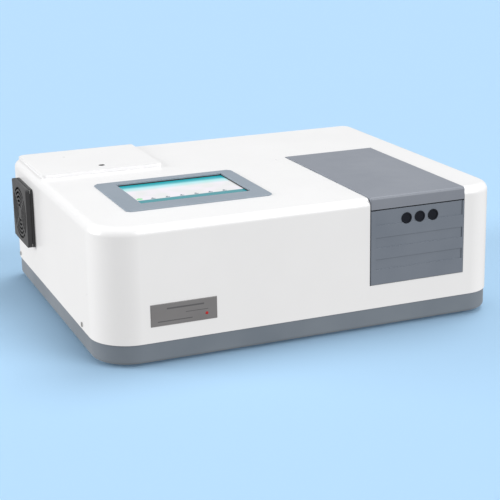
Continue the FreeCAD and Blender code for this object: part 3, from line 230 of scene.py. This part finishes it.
def makeFinish(name):
    look = finishes[name]
    material = bpy.data.materials.new(name)
    material.use_nodes = True
    tree = material.node_tree
    nodes, links = tree.nodes, tree.links
    shader = nodes["Principled BSDF"]
    place = nodes.new("ShaderNodeTexCoord")
    cloud = nodes.new("ShaderNodeTexNoise")
    cloud.inputs["Scale"].default_value = finishPattern["cloudScale"]
    cloud.inputs["Detail"].default_value = finishPattern["cloudDetail"]
    links.new(place.outputs["Object"], cloud.inputs["Vector"])
    tint = nodes.new("ShaderNodeValToRGB")
    low = [max(0.0, c - look["vary"]) for c in look["colour"]]
    high = [min(1.0, c + look["vary"]) for c in look["colour"]]
    tint.color_ramp.elements[0].position = finishPattern["cloudLow"]
    tint.color_ramp.elements[0].color = (*low, 1.0)
    tint.color_ramp.elements[1].position = finishPattern["cloudHigh"]
    tint.color_ramp.elements[1].color = (*high, 1.0)
    links.new(cloud.outputs["Fac"], tint.inputs["Fac"])
    links.new(tint.outputs["Color"], shader.inputs["Base Color"])
    wear = nodes.new("ShaderNodeMapRange")
    smoothest = finishPattern["smoothest"]
    wear.inputs["To Min"].default_value = max(smoothest, look["rough"] - look["roughVary"])
    wear.inputs["To Max"].default_value = min(1.0, look["rough"] + look["roughVary"])
    patches = nodes.new("ShaderNodeTexNoise")
    patches.inputs["Scale"].default_value = finishPattern["wearScale"]
    patches.inputs["Detail"].default_value = finishPattern["wearDetail"]
    links.new(place.outputs["Object"], patches.inputs["Vector"])
    links.new(patches.outputs["Fac"], wear.inputs["Value"])
    links.new(wear.outputs["Result"], shader.inputs["Roughness"])
    if look["depth"]:
        grain = nodes.new("ShaderNodeTexNoise")
        grain.inputs["Scale"].default_value = look["grain"]
        grain.inputs["Detail"].default_value = finishPattern["grainDetail"]
        links.new(place.outputs["Object"], grain.inputs["Vector"])
        bump = nodes.new("ShaderNodeBump")
        bump.inputs["Distance"].default_value = look["depth"]
        bump.inputs["Strength"].default_value = finishPattern["grainStrength"]
        links.new(grain.outputs["Fac"], bump.inputs["Height"])
        links.new(bump.outputs["Normal"], shader.inputs["Normal"])
    shader.inputs["Metallic"].default_value = look.get("metal", 0.0)
    shader.inputs["Coat Weight"].default_value = look["coat"]
    shader.inputs["Coat Roughness"].default_value = finishPattern["coatRough"]
    shader.inputs["Specular IOR Level"].default_value = look.get("shine", finishPattern["shine"])
    return material


finish = {name: makeFinish(name) for name in finishes}


quartz = {
    "colour": (0.96, 0.98, 1.0),
    "rough": 0.03,
    "hazeScale": 60.0,
    "hazeLow": 0.6,
    "hazeHigh": 1.4,
    "clear": 0.95,
    "bend": 1.46,
}


def makeGlass(name, look):
    material = bpy.data.materials.new(name)
    material.use_nodes = True
    nodes, links = material.node_tree.nodes, material.node_tree.links
    shader = nodes["Principled BSDF"]
    place = nodes.new("ShaderNodeTexCoord")
    haze = nodes.new("ShaderNodeTexNoise")
    haze.inputs["Scale"].default_value = look["hazeScale"]
    links.new(place.outputs["Object"], haze.inputs["Vector"])
    spread = nodes.new("ShaderNodeMapRange")
    spread.inputs["To Min"].default_value = look["rough"] * look["hazeLow"]
    spread.inputs["To Max"].default_value = look["rough"] * look["hazeHigh"]
    links.new(haze.outputs["Fac"], spread.inputs["Value"])
    links.new(spread.outputs["Result"], shader.inputs["Roughness"])
    shader.inputs["Base Color"].default_value = (*look["colour"], 1.0)
    shader.inputs["Transmission Weight"].default_value = look["clear"]
    shader.inputs["IOR"].default_value = look["bend"]
    return material


finish["quartz"] = makeGlass("quartz", quartz)

bodyOf = {}
for bodyName, members in frame["record"]["behaviour"]["bodies"].items():
    for member in members:
        bodyOf[member] = bodyName


def addPiece(name, shape, body, material, standsFor=()):
    mesh = bpy.data.meshes.new(name)
    shape.to_mesh(mesh)
    shape.free()
    mesh.materials.append(material)
    piece = bpy.data.objects.new(name, mesh)
    bpy.context.scene.collection.objects.link(piece)
    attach(piece, body)
    if standsFor:
        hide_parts(*standsFor)
    return piece


edges = {
    "angle": 32.0,
    "weight": 80,
    "crispAngle": 22.0,
    "crispShare": 0.6,
    "mergeGap": 0.000002,
    "flatAngle": 0.3,
}


def softenEdges(piece, width, segments=2, angle=edges["angle"]):
    for polygon in piece.data.polygons:
        polygon.use_smooth = True
    bevel = piece.modifiers.new("softEdges", "BEVEL")
    bevel.width = width
    bevel.segments = segments
    bevel.limit_method = "ANGLE"
    bevel.angle_limit = math.radians(angle)
    weigh = piece.modifiers.new("evenShading", "WEIGHTED_NORMAL")
    weigh.weight = edges["weight"]
    weigh.keep_sharp = True
    return piece


# nodes with thin steps, which a wide soft edge would swallow
crispNodes = {"screen_bezel", "nameplate", "front_panel", "sample_lid", "fan_grille", "guard_base_frame"}


def fineCopy(node, material, width):
    shape = bmesh.new()
    shape.from_mesh(frame["nodes"][node].data)
    bmesh.ops.remove_doubles(shape, verts=shape.verts, dist=edges["mergeGap"])
    flat = math.radians(edges["flatAngle"])
    bmesh.ops.dissolve_limit(shape, angle_limit=flat, verts=shape.verts, edges=shape.edges)
    piece = addPiece(node + "_fine", shape, bodyOf[node], material, (node,))
    if node in crispNodes:
        return softenEdges(piece, width * edges["crispShare"], segments=1, angle=edges["crispAngle"])
    return softenEdges(piece, width)


fineNodes = {
    "base_tray": ("trayGrey", 0.0004),
    "housing": ("housingWhite", 0.0005),
    "housing_screws": ("zincSteel", 0.0002),
    "screen_bezel": ("bezelGrey", 0.0004),
    "nameplate": ("labelSilver", 0.0002),
    "guard_base_frame": ("guardBlack", 0.0004),
    "fan_grille": ("guardBlack", 0.0004),
    "dust_filter": ("filterFoam", 0.0003),
    "fan_frame": ("guardBlack", 0.0004),
    "fan_rotor": ("guardBlack", 0.0003),
    "fan_screws": ("zincSteel", 0.0002),
    "lamp_cover": ("housingWhite", 0.0004),
    "lamp_cover_screw": ("screwBlack", 0.0002),
    "sample_lid": ("lidTopGrey", 0.0004),
    "lid_seal": ("footRubber", 0.0006),
    "hinge_brackets": ("zincSteel", 0.0003),
    "hinge_pins": ("zincSteel", 0.0002),
    "front_panel": ("lidGrey", 0.0003),
    "power_inlet": ("guardBlack", 0.0004),
    "inlet_pins": ("brassPins", 0.0002),
    "fuse_drawer": ("guardBlack", 0.0003),
    "switch_rocker": ("switchRed", 0.0004),
    "usb_port": ("zincSteel", 0.0001),
    "optical_bench": ("castAluminium", 0.0006),
    "bench_isolators": ("footRubber", 0.0006),
    "sample_chamber": ("blackAnodised", 0.0004),
    "holder_base": ("blackAnodised", 0.0004),
    "sample_cell_holder": ("blackAnodised", 0.0004),
    "reference_cell_holder": ("blackAnodised", 0.0004),
    "monochromator_case": ("blackAnodised", 0.0006),
    "monochromator_cover": ("blackAnodised", 0.0004),
    "slit_plates": ("zincSteel", 0.0002),
    "grating_turret": ("castAluminium", 0.0004),
    "grating_motor": ("motorBlack", 0.0004),
    "motor_pulley": ("castAluminium", 0.0003),
    "drive_belt": ("footRubber", 0.0002),
    "filter_wheel": ("blackAnodised", 0.0003),
    "filter_wheel_motor": ("motorBlack", 0.0004),
    "chopper_motor": ("motorBlack", 0.0004),
    "lamp_house": ("castAluminium", 0.0003),
    "lamp_sockets": ("lampCeramic", 0.0005),
    "lamp_mirror_motor": ("motorBlack", 0.0005),
    "detector_housing": ("blackAnodised", 0.0005),
    "detectors": ("zincSteel", 0.0004),
    "power_supply": ("zincSteel", 0.0005),
    "main_board": ("boardGreen", 0.0001),
    "lcd_module": ("blackAnodised", 0.0003),
    "grating": ("mirrorCoat", 0.0003),
    "monochromator_mirrors": ("mirrorCoat", 0.0004),
    "beam_mirrors": ("mirrorCoat", 0.0003),
    "lamp_mirror": ("mirrorCoat", 0.0003),
    "chopper_wheel": ("mirrorCoat", 0.0002),
    "beam_windows": ("quartz", 0.0002),
    "deuterium_lamp": ("quartz", 0.0003),
    "tungsten_lamp": ("quartz", 0.0003),
    "port_plug_left": ("plugBlack", 0.0003),
    "port_plug_middle": ("plugBlack", 0.0003),
    "port_plug_right": ("plugBlack", 0.0003),
}
for node, (finishName, width) in fineNodes.items():
    fineCopy(node, finish[finishName], width)
print("fine copies made:", len(fineNodes))


def plainBox(shape, low, high):
    made = bmesh.ops.create_cube(shape, size=1.0)
    middle = (Vector(low) + Vector(high)) / 2
    span = Vector(high) - Vector(low)
    for vert in made["verts"]:
        vert.co = Vector((vert.co.x * span.x, vert.co.y * span.y, vert.co.z * span.z)) + middle
    return made["verts"]


def turned(shape, centre, profile, axis="Z", steps=48):
    axes = {"X": Vector((1, 0, 0)), "Y": Vector((0, 1, 0)), "Z": Vector((0, 0, 1))}
    along = axes[axis]
    out = axes["Y"] if axis != "Y" else axes["Z"]
    centre = Vector(centre)
    verts = [shape.verts.new(centre + along * height + out * radius) for radius, height in profile]
    rim = [shape.edges.new(pair) for pair in zip(verts, verts[1:])]
    bmesh.ops.spin(
        shape, geom=verts + rim, cent=centre, axis=along, dvec=(0, 0, 0),
        angle=math.tau, steps=steps, space=Matrix.Identity(4), use_merge=True,
    )
    bmesh.ops.remove_doubles(shape, verts=shape.verts, dist=0.0000005)
    bmesh.ops.recalc_face_normals(shape, faces=shape.faces)


def bounds(node):
    low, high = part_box(node)
    return Vector(low), Vector(high)


def addDetail(name, shape, near, finishName, width=0.0001, standsFor=()):
    piece = addPiece(name, shape, bodyOf[near], finish[finishName], standsFor)
    return softenEdges(piece, width)


screen = {
    "edgeMargin": 0.0029,        # glass that lies hidden under the bezel
    "backBar": 0.14,             # share of the picture's height taken by the bar at the back
    "frontBar": 0.23,
    "barColour": (0.0, 0.43, 0.50),
    "frontBarColour": (0.0, 0.27, 0.32),
    "skyColour": (0.42, 0.86, 0.90),
    "paperColour": (0.90, 0.87, 0.92),
    "leafColour": (0.86, 0.93, 0.84),
    "warmColour": (1.0, 0.97, 1.0),
    "darkGlass": (0.02, 0.025, 0.03),
    "glow": 0.86,
    "barFade": 0.012,
    "paperEnd": 0.66,
    "skyBefore": 0.05,
    "backAfter": 0.03,
    "cloudScale": 32.0,
    "cloudShare": 0.55,
    "cloudLow": 0.38,
    "cloudHigh": 0.60,
    "smearLow": 0.05,
    "smearHigh": 0.14,
    "iconCount": 7,
    "iconSize": 0.0062,
    "iconLift": 0.00015,
    # dark sleeve on the window recess walls: painted shade for the recess's shadow line
    "shadeSleeveWall": 0.0006,
    "shadeSleeveDrop": 0.0019,
}


def makeDisplayFinish(low, high):
    material = bpy.data.materials.new("displayLit")
    material.use_nodes = True
    nodes, links = material.node_tree.nodes, material.node_tree.links
    shader = nodes["Principled BSDF"]
    place = nodes.new("ShaderNodeTexCoord")
    split = nodes.new("ShaderNodeSeparateXYZ")
    links.new(place.outputs["Object"], split.inputs["Vector"])
    rise = nodes.new("ShaderNodeMapRange")
    rise.inputs["From Min"].default_value = low.y
    rise.inputs["From Max"].default_value = high.y
    links.new(split.outputs["Y"], rise.inputs["Value"])
    bands = nodes.new("ShaderNodeValToRGB")
    bands.color_ramp.interpolation = "LINEAR"
    stops = bands.color_ramp.elements
    stops[0].position = screen["frontBar"]
    stops[0].color = (*screen["frontBarColour"], 1.0)
    stops[1].position = 1.0
    stops[1].color = (*screen["barColour"], 1.0)
    for share, colour in (
        (screen["frontBar"] + screen["barFade"], screen["paperColour"]),
        (screen["paperEnd"], screen["paperColour"]),
        (1.0 - screen["backBar"] - screen["skyBefore"], screen["skyColour"]),
        (1.0 - screen["backBar"] + screen["backAfter"], screen["barColour"]),
    ):
        stop = stops.new(share)
        stop.color = (*colour, 1.0)
    links.new(rise.outputs["Result"], bands.inputs["Fac"])
    cloud = nodes.new("ShaderNodeTexNoise")
    cloud.inputs["Scale"].default_value = screen["cloudScale"]
    cloud.inputs["Detail"].default_value = 1.0
    links.new(place.outputs["Object"], cloud.inputs["Vector"])
    mix = nodes.new("ShaderNodeMix")
    mix.data_type = "RGBA"
    mix.blend_type = "MULTIPLY"
    mix.inputs["Factor"].default_value = screen["cloudShare"]
    tint = nodes.new("ShaderNodeValToRGB")
    tint.color_ramp.elements[0].position = screen["cloudLow"]
    tint.color_ramp.elements[0].color = (*screen["leafColour"], 1.0)
    tint.color_ramp.elements[1].position = screen["cloudHigh"]
    tint.color_ramp.elements[1].color = (*screen["warmColour"], 1.0)
    links.new(cloud.outputs["Fac"], tint.inputs["Fac"])
    links.new(bands.outputs["Color"], mix.inputs["A"])
    links.new(tint.outputs["Color"], mix.inputs["B"])
    links.new(mix.outputs["Result"], shader.inputs["Emission Color"])
    shader.inputs["Base Color"].default_value = (*screen["darkGlass"], 1.0)
    smear = nodes.new("ShaderNodeMapRange")
    smear.inputs["To Min"].default_value = screen["smearLow"]
    smear.inputs["To Max"].default_value = screen["smearHigh"]
    links.new(cloud.outputs["Fac"], smear.inputs["Value"])
    links.new(smear.outputs["Result"], shader.inputs["Roughness"])
    shader.inputs["Emission Strength"].default_value = screen["glow"]
    return material


def makeScreen():
    glassLow, glassHigh = bounds("touch_glass")
    margin = screen["edgeMargin"]
    low = Vector((glassLow.x + margin, glassLow.y + margin, glassHigh.z))
    high = Vector((glassHigh.x - margin, glassHigh.y - margin, glassHigh.z))
    finish["displayLit"] = makeDisplayFinish(low, high)
    shape = bmesh.new()
    plainBox(shape, glassLow, glassHigh)
    addDetail("display_glass", shape, "touch_glass", "displayLit", 0.0002, standsFor=("touch_glass",))
    # black sleeve on the window recess walls: painted shade for the shadow line along the recess
    bezelTop = bounds("screen_bezel")[1].z
    shape = bmesh.new()
    plainBox(shape, low, (high.x, high.y, bezelTop - screen["shadeSleeveDrop"]))
    ends = [face for face in shape.faces if abs(face.normal.z) > 0.5]
    bmesh.ops.delete(shape, geom=ends, context="FACES_ONLY")
    bmesh.ops.solidify(shape, geom=shape.faces, thickness=screen["shadeSleeveWall"])
    bmesh.ops.recalc_face_normals(shape, faces=shape.faces)
    addDetail("display_recess_painted_shade", shape, "screen_bezel", "footRubber", 0.0001)
    shape = bmesh.new()
    size = screen["iconSize"]
    lift = screen["iconLift"]
    row = low.y + (high.y - low.y) * (screen["frontBar"] + 0.02)
    for number in range(1, screen["iconCount"]):
        x = low.x + (high.x - low.x) * (0.02 + number * 0.92 / screen["iconCount"])
        plainBox(shape, (x, row, low.z), (x + size, row + size * 0.45, low.z + lift))
        plainBox(shape, (x + size * 0.3, row + size * 0.6, low.z), (x + size * 0.7, row + size, low.z + lift))
    addDetail("display_icons", shape, "touch_glass", "iconGrey", 0.00003)
    shape = bmesh.new()
    centre = (low.x + 0.009, row + size * 0.9, low.z)
    turned(shape, centre, ((0.0, lift), (size * 0.75, lift), (size * 0.75, 0.0), (0.0, 0.0)), steps=32)
    addDetail("display_button", shape, "touch_glass", "iconGreen", 0.00003)


makeScreen()
print("screen made")

plateMarks = {
    "lines": ((0.24, 0.80, 0.76, 0.070), (0.52, 0.86, 0.50, 0.030), (0.10, 0.62, 0.20, 0.045)),
    "dot": (0.84, 0.30, 0.0022),
    "lift": 0.00006,
}


def makePlateMarks():
    low, high = bounds("nameplate")
    width = high.x - low.x
    height = high.z - low.z
    shape = bmesh.new()
    for start, stop, level, thickness in plateMarks["lines"]:
        z = low.z + height * level
        half = height * thickness / 2
        plainBox(
            shape, (low.x + width * start, low.y - plateMarks["lift"], z - half),
            (low.x + width * stop, low.y + 0.0002, z + half),
        )
    addDetail("nameplate_marks", shape, "nameplate", "markGrey", 0.00002)
    shape = bmesh.new()
    across, up, radius = plateMarks["dot"]
    centre = (low.x + width * across, low.y + 0.0002, low.z + height * up)
    top = -0.0002 - plateMarks["lift"]
    turned(shape, centre, ((0.0, top), (radius, top), (radius, 0.0), (0.0, 0.0)), axis="Y", steps=32)
    addDetail("nameplate_dot", shape, "nameplate", "switchRed", 0.00002)


makePlateMarks()

feet = {
    "radius": 0.014,
    "taper": 0.0015,
    "recess": 0.0055,
    "deep": 0.0022,
    "head": 0.0042,
    "round": 0.0012,
}


def makeFeet():
    low, high = bounds("rubber_feet")
    radius = feet["radius"]
    tread = radius - feet["taper"]
    rise = high.z - low.z
    r = feet["round"]
    soft = bmesh.new()
    heads = bmesh.new()
    for sideX in (-1, 1):
        for sideY in (-1, 1):
            x = high.x - radius if sideX > 0 else low.x + radius
            y = high.y - radius if sideY > 0 else low.y + radius
            turned(soft, (x, y, low.z), (
                (0.0, feet["deep"]), (feet["recess"], feet["deep"]), (feet["recess"], 0.0004),
                (feet["recess"] + 0.0004, 0.0), (tread - r, 0.0), (tread - r * 0.3, r * 0.3),
                (tread, r), (radius, rise), (0.0, rise),
            ))
            turned(heads, (x, y, low.z + feet["deep"]), (
                (0.0, -0.0005), (0.0012, -0.0005), (0.0016, -0.0014), (0.0032, -0.0012),
                (feet["head"], -0.0004), (feet["head"], 0.0), (0.0, 0.0),
            ), steps=32)
    addDetail("rubber_feet_fine", soft, "rubber_feet", "footRubber", 0.0002, standsFor=("rubber_feet",))
    addDetail("feet_screws", heads, "rubber_feet", "zincSteel", 0.0001)


makeFeet()

# black sleeve inside the lamp cover's screw well: painted shade that darkens the recess
wellShadeSleeve = {"radius": 0.00498, "wall": 0.0004, "lip": 0.0003, "drop": 0.003}


def makeWellShadeSleeve():
    coverHigh = bounds("lamp_cover")[1].z
    screwLow, screwHigh = bounds("lamp_cover_screw")
    middle = (screwLow + screwHigh) / 2
    seat = screwHigh.z - wellShadeSleeve["drop"]
    top = coverHigh - wellShadeSleeve["lip"]
    outer = wellShadeSleeve["radius"]
    inner = outer - wellShadeSleeve["wall"]
    shape = bmesh.new()
    turned(shape, (middle.x, middle.y, 0.0), (
        (inner, seat), (outer, seat), (outer, top), (inner, top), (inner, seat),
    ))
    # the black ring is painted shade on the well wall, not a part of the cover
    addDetail("cover_well_painted_shade", shape, "lamp_cover", "footRubber", 0.00008)


makeWellShadeSleeve()

rearPlate = {
    "left": -0.02,
    "bottom": 0.045,
    "width": 0.085,
    "height": 0.042,
    "thickness": 0.0006,
    "barShares": (0.9, 0.55, 0.72, 0.64, 0.48),
    "barReach": 0.07,
    "barPitch": 0.0066,
    "barHalf": 0.0007,
    "barInset": 0.005,
    "barTop": 0.007,
    "screwInset": 0.0045,
}


def makeRearDetails():
    back = bounds("housing")[1].y
    x0, z0 = rearPlate["left"], rearPlate["bottom"]
    x1, z1 = x0 + rearPlate["width"], z0 + rearPlate["height"]
    shape = bmesh.new()
    plainBox(shape, (x0, back - 0.0002, z0), (x1, back + rearPlate["thickness"], z1))
    addDetail("rating_plate", shape, "housing", "plateCream", 0.0001)
    shape = bmesh.new()
    face = back + rearPlate["thickness"]
    right = x1 - rearPlate["barInset"]
    half = rearPlate["barHalf"]
    for row, share in enumerate(rearPlate["barShares"]):
        z = z1 - rearPlate["barTop"] - row * rearPlate["barPitch"]
        left = right - share * rearPlate["barReach"]
        plainBox(shape, (left, face - 0.0001, z - half), (right, face + 0.00005, z + half))
    addDetail("rating_marks", shape, "housing", "markGrey", 0.00002)
    inletLow, inletHigh = bounds("power_inlet")
    shape = bmesh.new()
    inset = rearPlate["screwInset"]
    for x in (inletLow.x + inset, inletHigh.x - inset):
        for z in (inletLow.z + inset, inletHigh.z - inset):
            turned(shape, (x, inletHigh.y - 0.0006, z), (
                (0.0, 0.0004), (0.0010, 0.0004), (0.0013, 0.0014), (0.0022, 0.0012),
                (0.0026, 0.0006), (0.0026, 0.0), (0.0, 0.0),
            ), axis="Y", steps=32)
    addDetail("inlet_screws", shape, "power_inlet", "zincSteel", 0.0001)


makeRearDetails()

underside = {
    "ribDrop": 0.0012,
    "ribWidth": 0.008,
    "ribInset": 0.085,
    "screwInset": 0.030,
    "screwSide": 0.18,
    "screwRadius": 0.0034,
}


def makeUnderside():
    low, high = bounds("base_tray")
    inset, half, drop = underside["ribInset"], underside["ribWidth"] / 2, underside["ribDrop"]
    shape = bmesh.new()
    for x in (low.x + inset, (low.x + high.x) / 2, high.x - inset):
        plainBox(shape, (x - half, low.y + inset, low.z - drop), (x + half, high.y - inset, low.z + 0.0002))
    for y in (low.y + inset, high.y - inset):
        plainBox(
            shape, (low.x + inset - half, y - half, low.z - drop),
            (high.x - inset + half, y + half, low.z + 0.0002),
        )
    addDetail("tray_ribs", shape, "base_tray", "trayGrey", 0.0005)
    heads = bmesh.new()
    r = underside["screwRadius"]
    side = underside["screwSide"]
    for x in (low.x + side, (low.x + high.x) / 2, high.x - side):
        for y in (low.y + underside["screwInset"], high.y - underside["screwInset"]):
            turned(heads, (x, y, low.z), (
                (0.0, -0.0006), (r * 0.4, -0.0006), (r * 0.46, -0.0019), (r * 0.85, -0.0017),
                (r, -0.0010), (r, 0.0002), (0.0, 0.0002),
            ), steps=32)
    addDetail("tray_screws", heads, "base_tray", "zincSteel", 0.0001)


makeUnderside()
print("outside details made")


def makeLampInsides():
    wires = bmesh.new()
    for node in ("deuterium_lamp", "tungsten_lamp"):
        low, high = bounds(node)
        middle = (low + high) / 2
        reach = (high.x - low.x) / 2
        for side in (-0.3, 0.3):
            turned(wires, (middle.x + reach * side, middle.y, low.z + 0.010), (
                (0.0, 0.0), (0.0005, 0.0), (0.0005, (high.z - low.z) * 0.5), (0.0, (high.z - low.z) * 0.5),
            ), steps=16)
        plainBox(
            wires, (middle.x - reach * 0.5, middle.y - 0.0015, low.z + (high.z - low.z) * 0.5),
            (middle.x + reach * 0.5, middle.y + 0.0015, low.z + (high.z - low.z) * 0.62),
        )
    addDetail("lamp_electrodes", wires, "deuterium_lamp", "zincSteel", 0.0002)
    caps = bmesh.new()
    for node in ("deuterium_lamp", "tungsten_lamp"):
        low, high = bounds(node)
        middle = (low + high) / 2
        radius = (high.x - low.x) / 2 * 0.86
        turned(caps, (middle.x, middle.y, low.z), (
            (0.0, 0.0), (radius, 0.0), (radius, 0.0085), (radius * 0.9, 0.0095), (0.0, 0.0095),
        ))
    addDetail("lamp_caps", caps, "deuterium_lamp", "lampCeramic", 0.0002)


makeLampInsides()

boardParts = {
    "thickness": 0.0016,
    "canisters": (
        (0.20, 0.78, 0.0050, 0.012), (0.30, 0.78, 0.0050, 0.012),
        (0.40, 0.78, 0.0035, 0.009), (0.84, 0.74, 0.0060, 0.014),
    ),
    "headers": ((0.08, 0.12, 0.16, 0.0060), (0.34, 0.12, 0.22, 0.0060), (0.66, 0.12, 0.24, 0.0060)),
    "headerDepth": 0.007,
    "pinPitch": 0.0025,
    "pinHalf": 0.0003,
    "smallRows": 3,
    "smallCount": 11,
}


def makeBoardParts():
    low, high = bounds("main_board")
    top = low.z + boardParts["thickness"]
    width = high.x - low.x
    depth = high.y - low.y
    cans = bmesh.new()
    for across, along, radius, height in boardParts["canisters"]:
        turned(cans, (low.x + width * across, low.y + depth * along, top), (
            (0.0, 0.0), (radius, 0.0), (radius, height * 0.12), (radius * 0.93, height * 0.16),
            (radius, height * 0.2), (radius, height - 0.0006), (radius - 0.0006, height),
            (radius * 0.4, height - 0.0003), (0.0, height - 0.0003),
        ), steps=32)
    addDetail("board_canisters", cans, "main_board", "castAluminium", 0.0001)
    plastic = bmesh.new()
    pins = bmesh.new()
    for across, along, reach, height in boardParts["headers"]:
        x0 = low.x + width * across
        x1 = x0 + width * reach
        y0 = low.y + depth * along
        y1 = y0 + boardParts["headerDepth"]
        plainBox(plastic, (x0, y0, top), (x1, y1, top + height * 0.4))
        plainBox(plastic, (x0, y0, top + height * 0.4), (x1, y0 + 0.0012, top + height))
        pitch, half = boardParts["pinPitch"], boardParts["pinHalf"]
        count = int((x1 - x0) / pitch)
        for number in range(1, count):
            x = x0 + number * pitch
            plainBox(pins, (x - half, y0 + 0.0035, top), (x + half, y0 + 0.0041, top + height))
    for row in range(boardParts["smallRows"]):
        for number in range(boardParts["smallCount"]):
            x = low.x + width * (0.08 + 0.08 * number)
            y = low.y + depth * (0.52 + 0.07 * row)
            plainBox(plastic, (x, y, top), (x + 0.0032, y + 0.0016, top + 0.0008))
    addDetail("board_headers", plastic, "main_board", "guardBlack", 0.0001)
    addDetail("board_pins", pins, "main_board", "brassPins", 0.00005)


makeBoardParts()

coverScrews = {
    "inset": 0.008,
    "radius": 0.0032,
    "height": 0.0022,
    "along": (0.0, 0.33, 0.67, 1.0),
    "sink": 0.0001,
    "smallInset": 0.006,
    "smallRadius": 0.0024,
    "smallHeight": 0.0016,
    "baseThickness": 0.010,
    "baseRadius": 0.0028,
    "baseHeight": 0.0018,
}


def screwHeads(name, near, top, places, radius, height):
    shape = bmesh.new()
    top -= coverScrews["sink"]
    for x, y in places:
        turned(shape, (x, y, top), (
            (0.0, height * 0.35), (radius * 0.42, height * 0.35), (radius * 0.48, height),
            (radius * 0.85, height * 0.92), (radius, height * 0.55), (radius, 0.0), (0.0, 0.0),
        ), steps=32)
    return addDetail(name, shape, near, "zincSteel", 0.0001)


def makeCoverScrews():
    low, high = bounds("monochromator_cover")
    inset = coverScrews["inset"]
    places = []
    for share in coverScrews["along"]:
        x = low.x + inset + (high.x - low.x - 2 * inset) * share
        places += [(x, low.y + inset), (x, high.y - inset)]
    screwHeads(
        "monochromator_screws", "monochromator_cover", high.z, places,
        coverScrews["radius"], coverScrews["height"],
    )
    inset = coverScrews["smallInset"]
    for name, node in (("detector_screws", "detector_housing"), ("supply_screws", "power_supply")):
        low, high = bounds(node)
        places = [(x, y) for x in (low.x + inset, high.x - inset) for y in (low.y + inset, high.y - inset)]
        screwHeads(name, node, high.z, places, coverScrews["smallRadius"], coverScrews["smallHeight"])
    low, high = bounds("holder_base")
    side, end = coverScrews["smallInset"], coverScrews["inset"]
    places = [(x, y) for y in (low.y + end, high.y - end) for x in (low.x + side, high.x - side)]
    screwHeads(
        "holder_base_screws", "holder_base", low.z + coverScrews["baseThickness"], places,
        coverScrews["baseRadius"], coverScrews["baseHeight"],
    )


makeCoverScrews()

filterRings = {
    "count": 6,
    "circle": 0.020,
    "firstTurn": 180.0,
    "behindFace": 0.0015,
    "radius": 0.0062,
    "thickness": 0.0016,
    "ring": 0.0012,
}


def makeFilterRings():
    spin = [joint for joint in frame["joints"] if joint["name"] == "filter_wheel_spin"][0]
    centre = Vector(spin["pos_m"])
    y = bounds("filter_wheel")[1].y - filterRings["behindFace"]
    circle = filterRings["circle"]
    rings = bmesh.new()
    for number in range(filterRings["count"]):
        turn = math.radians(filterRings["firstTurn"] + 360.0 / filterRings["count"] * number)
        spot = (centre.x + circle * math.cos(turn), y, centre.z + circle * math.sin(turn))
        outer = filterRings["radius"]
        inner = outer - filterRings["ring"]
        half = filterRings["thickness"] / 2
        turned(rings, spot, (
            (inner, -half), (outer, -half), (outer, half), (inner, half), (inner, -half),
        ), axis="Y", steps=32)
    addDetail("filter_rings", rings, "filter_wheel", "brassPins", 0.0001)


makeFilterRings()
print("inside details made")


def makeFloor():
    shape = bmesh.new()
    bmesh.ops.create_grid(shape, x_segments=1, y_segments=1, size=studio["floorSize"] / 2)
    mesh = bpy.data.meshes.new("floor")
    shape.to_mesh(mesh)
    shape.free()
    material = bpy.data.materials.new("floorPaper")
    material.use_nodes = True
    shader = material.node_tree.nodes["Principled BSDF"]
    shader.inputs["Base Color"].default_value = (*studio["floorColour"], 1.0)
    shader.inputs["Roughness"].default_value = studio["floorRough"]
    shader.inputs["Specular IOR Level"].default_value = studio["floorShine"]
    mesh.materials.append(material)
    floor = bpy.data.objects.new("floor", mesh)
    bpy.context.scene.collection.objects.link(floor)
    floor.location.z = -studio["floorDrop"]
    floor.visible_diffuse = False
    floor.visible_glossy = False


makeFloor()
makeCamera()
makeLights()
print("studio ready")
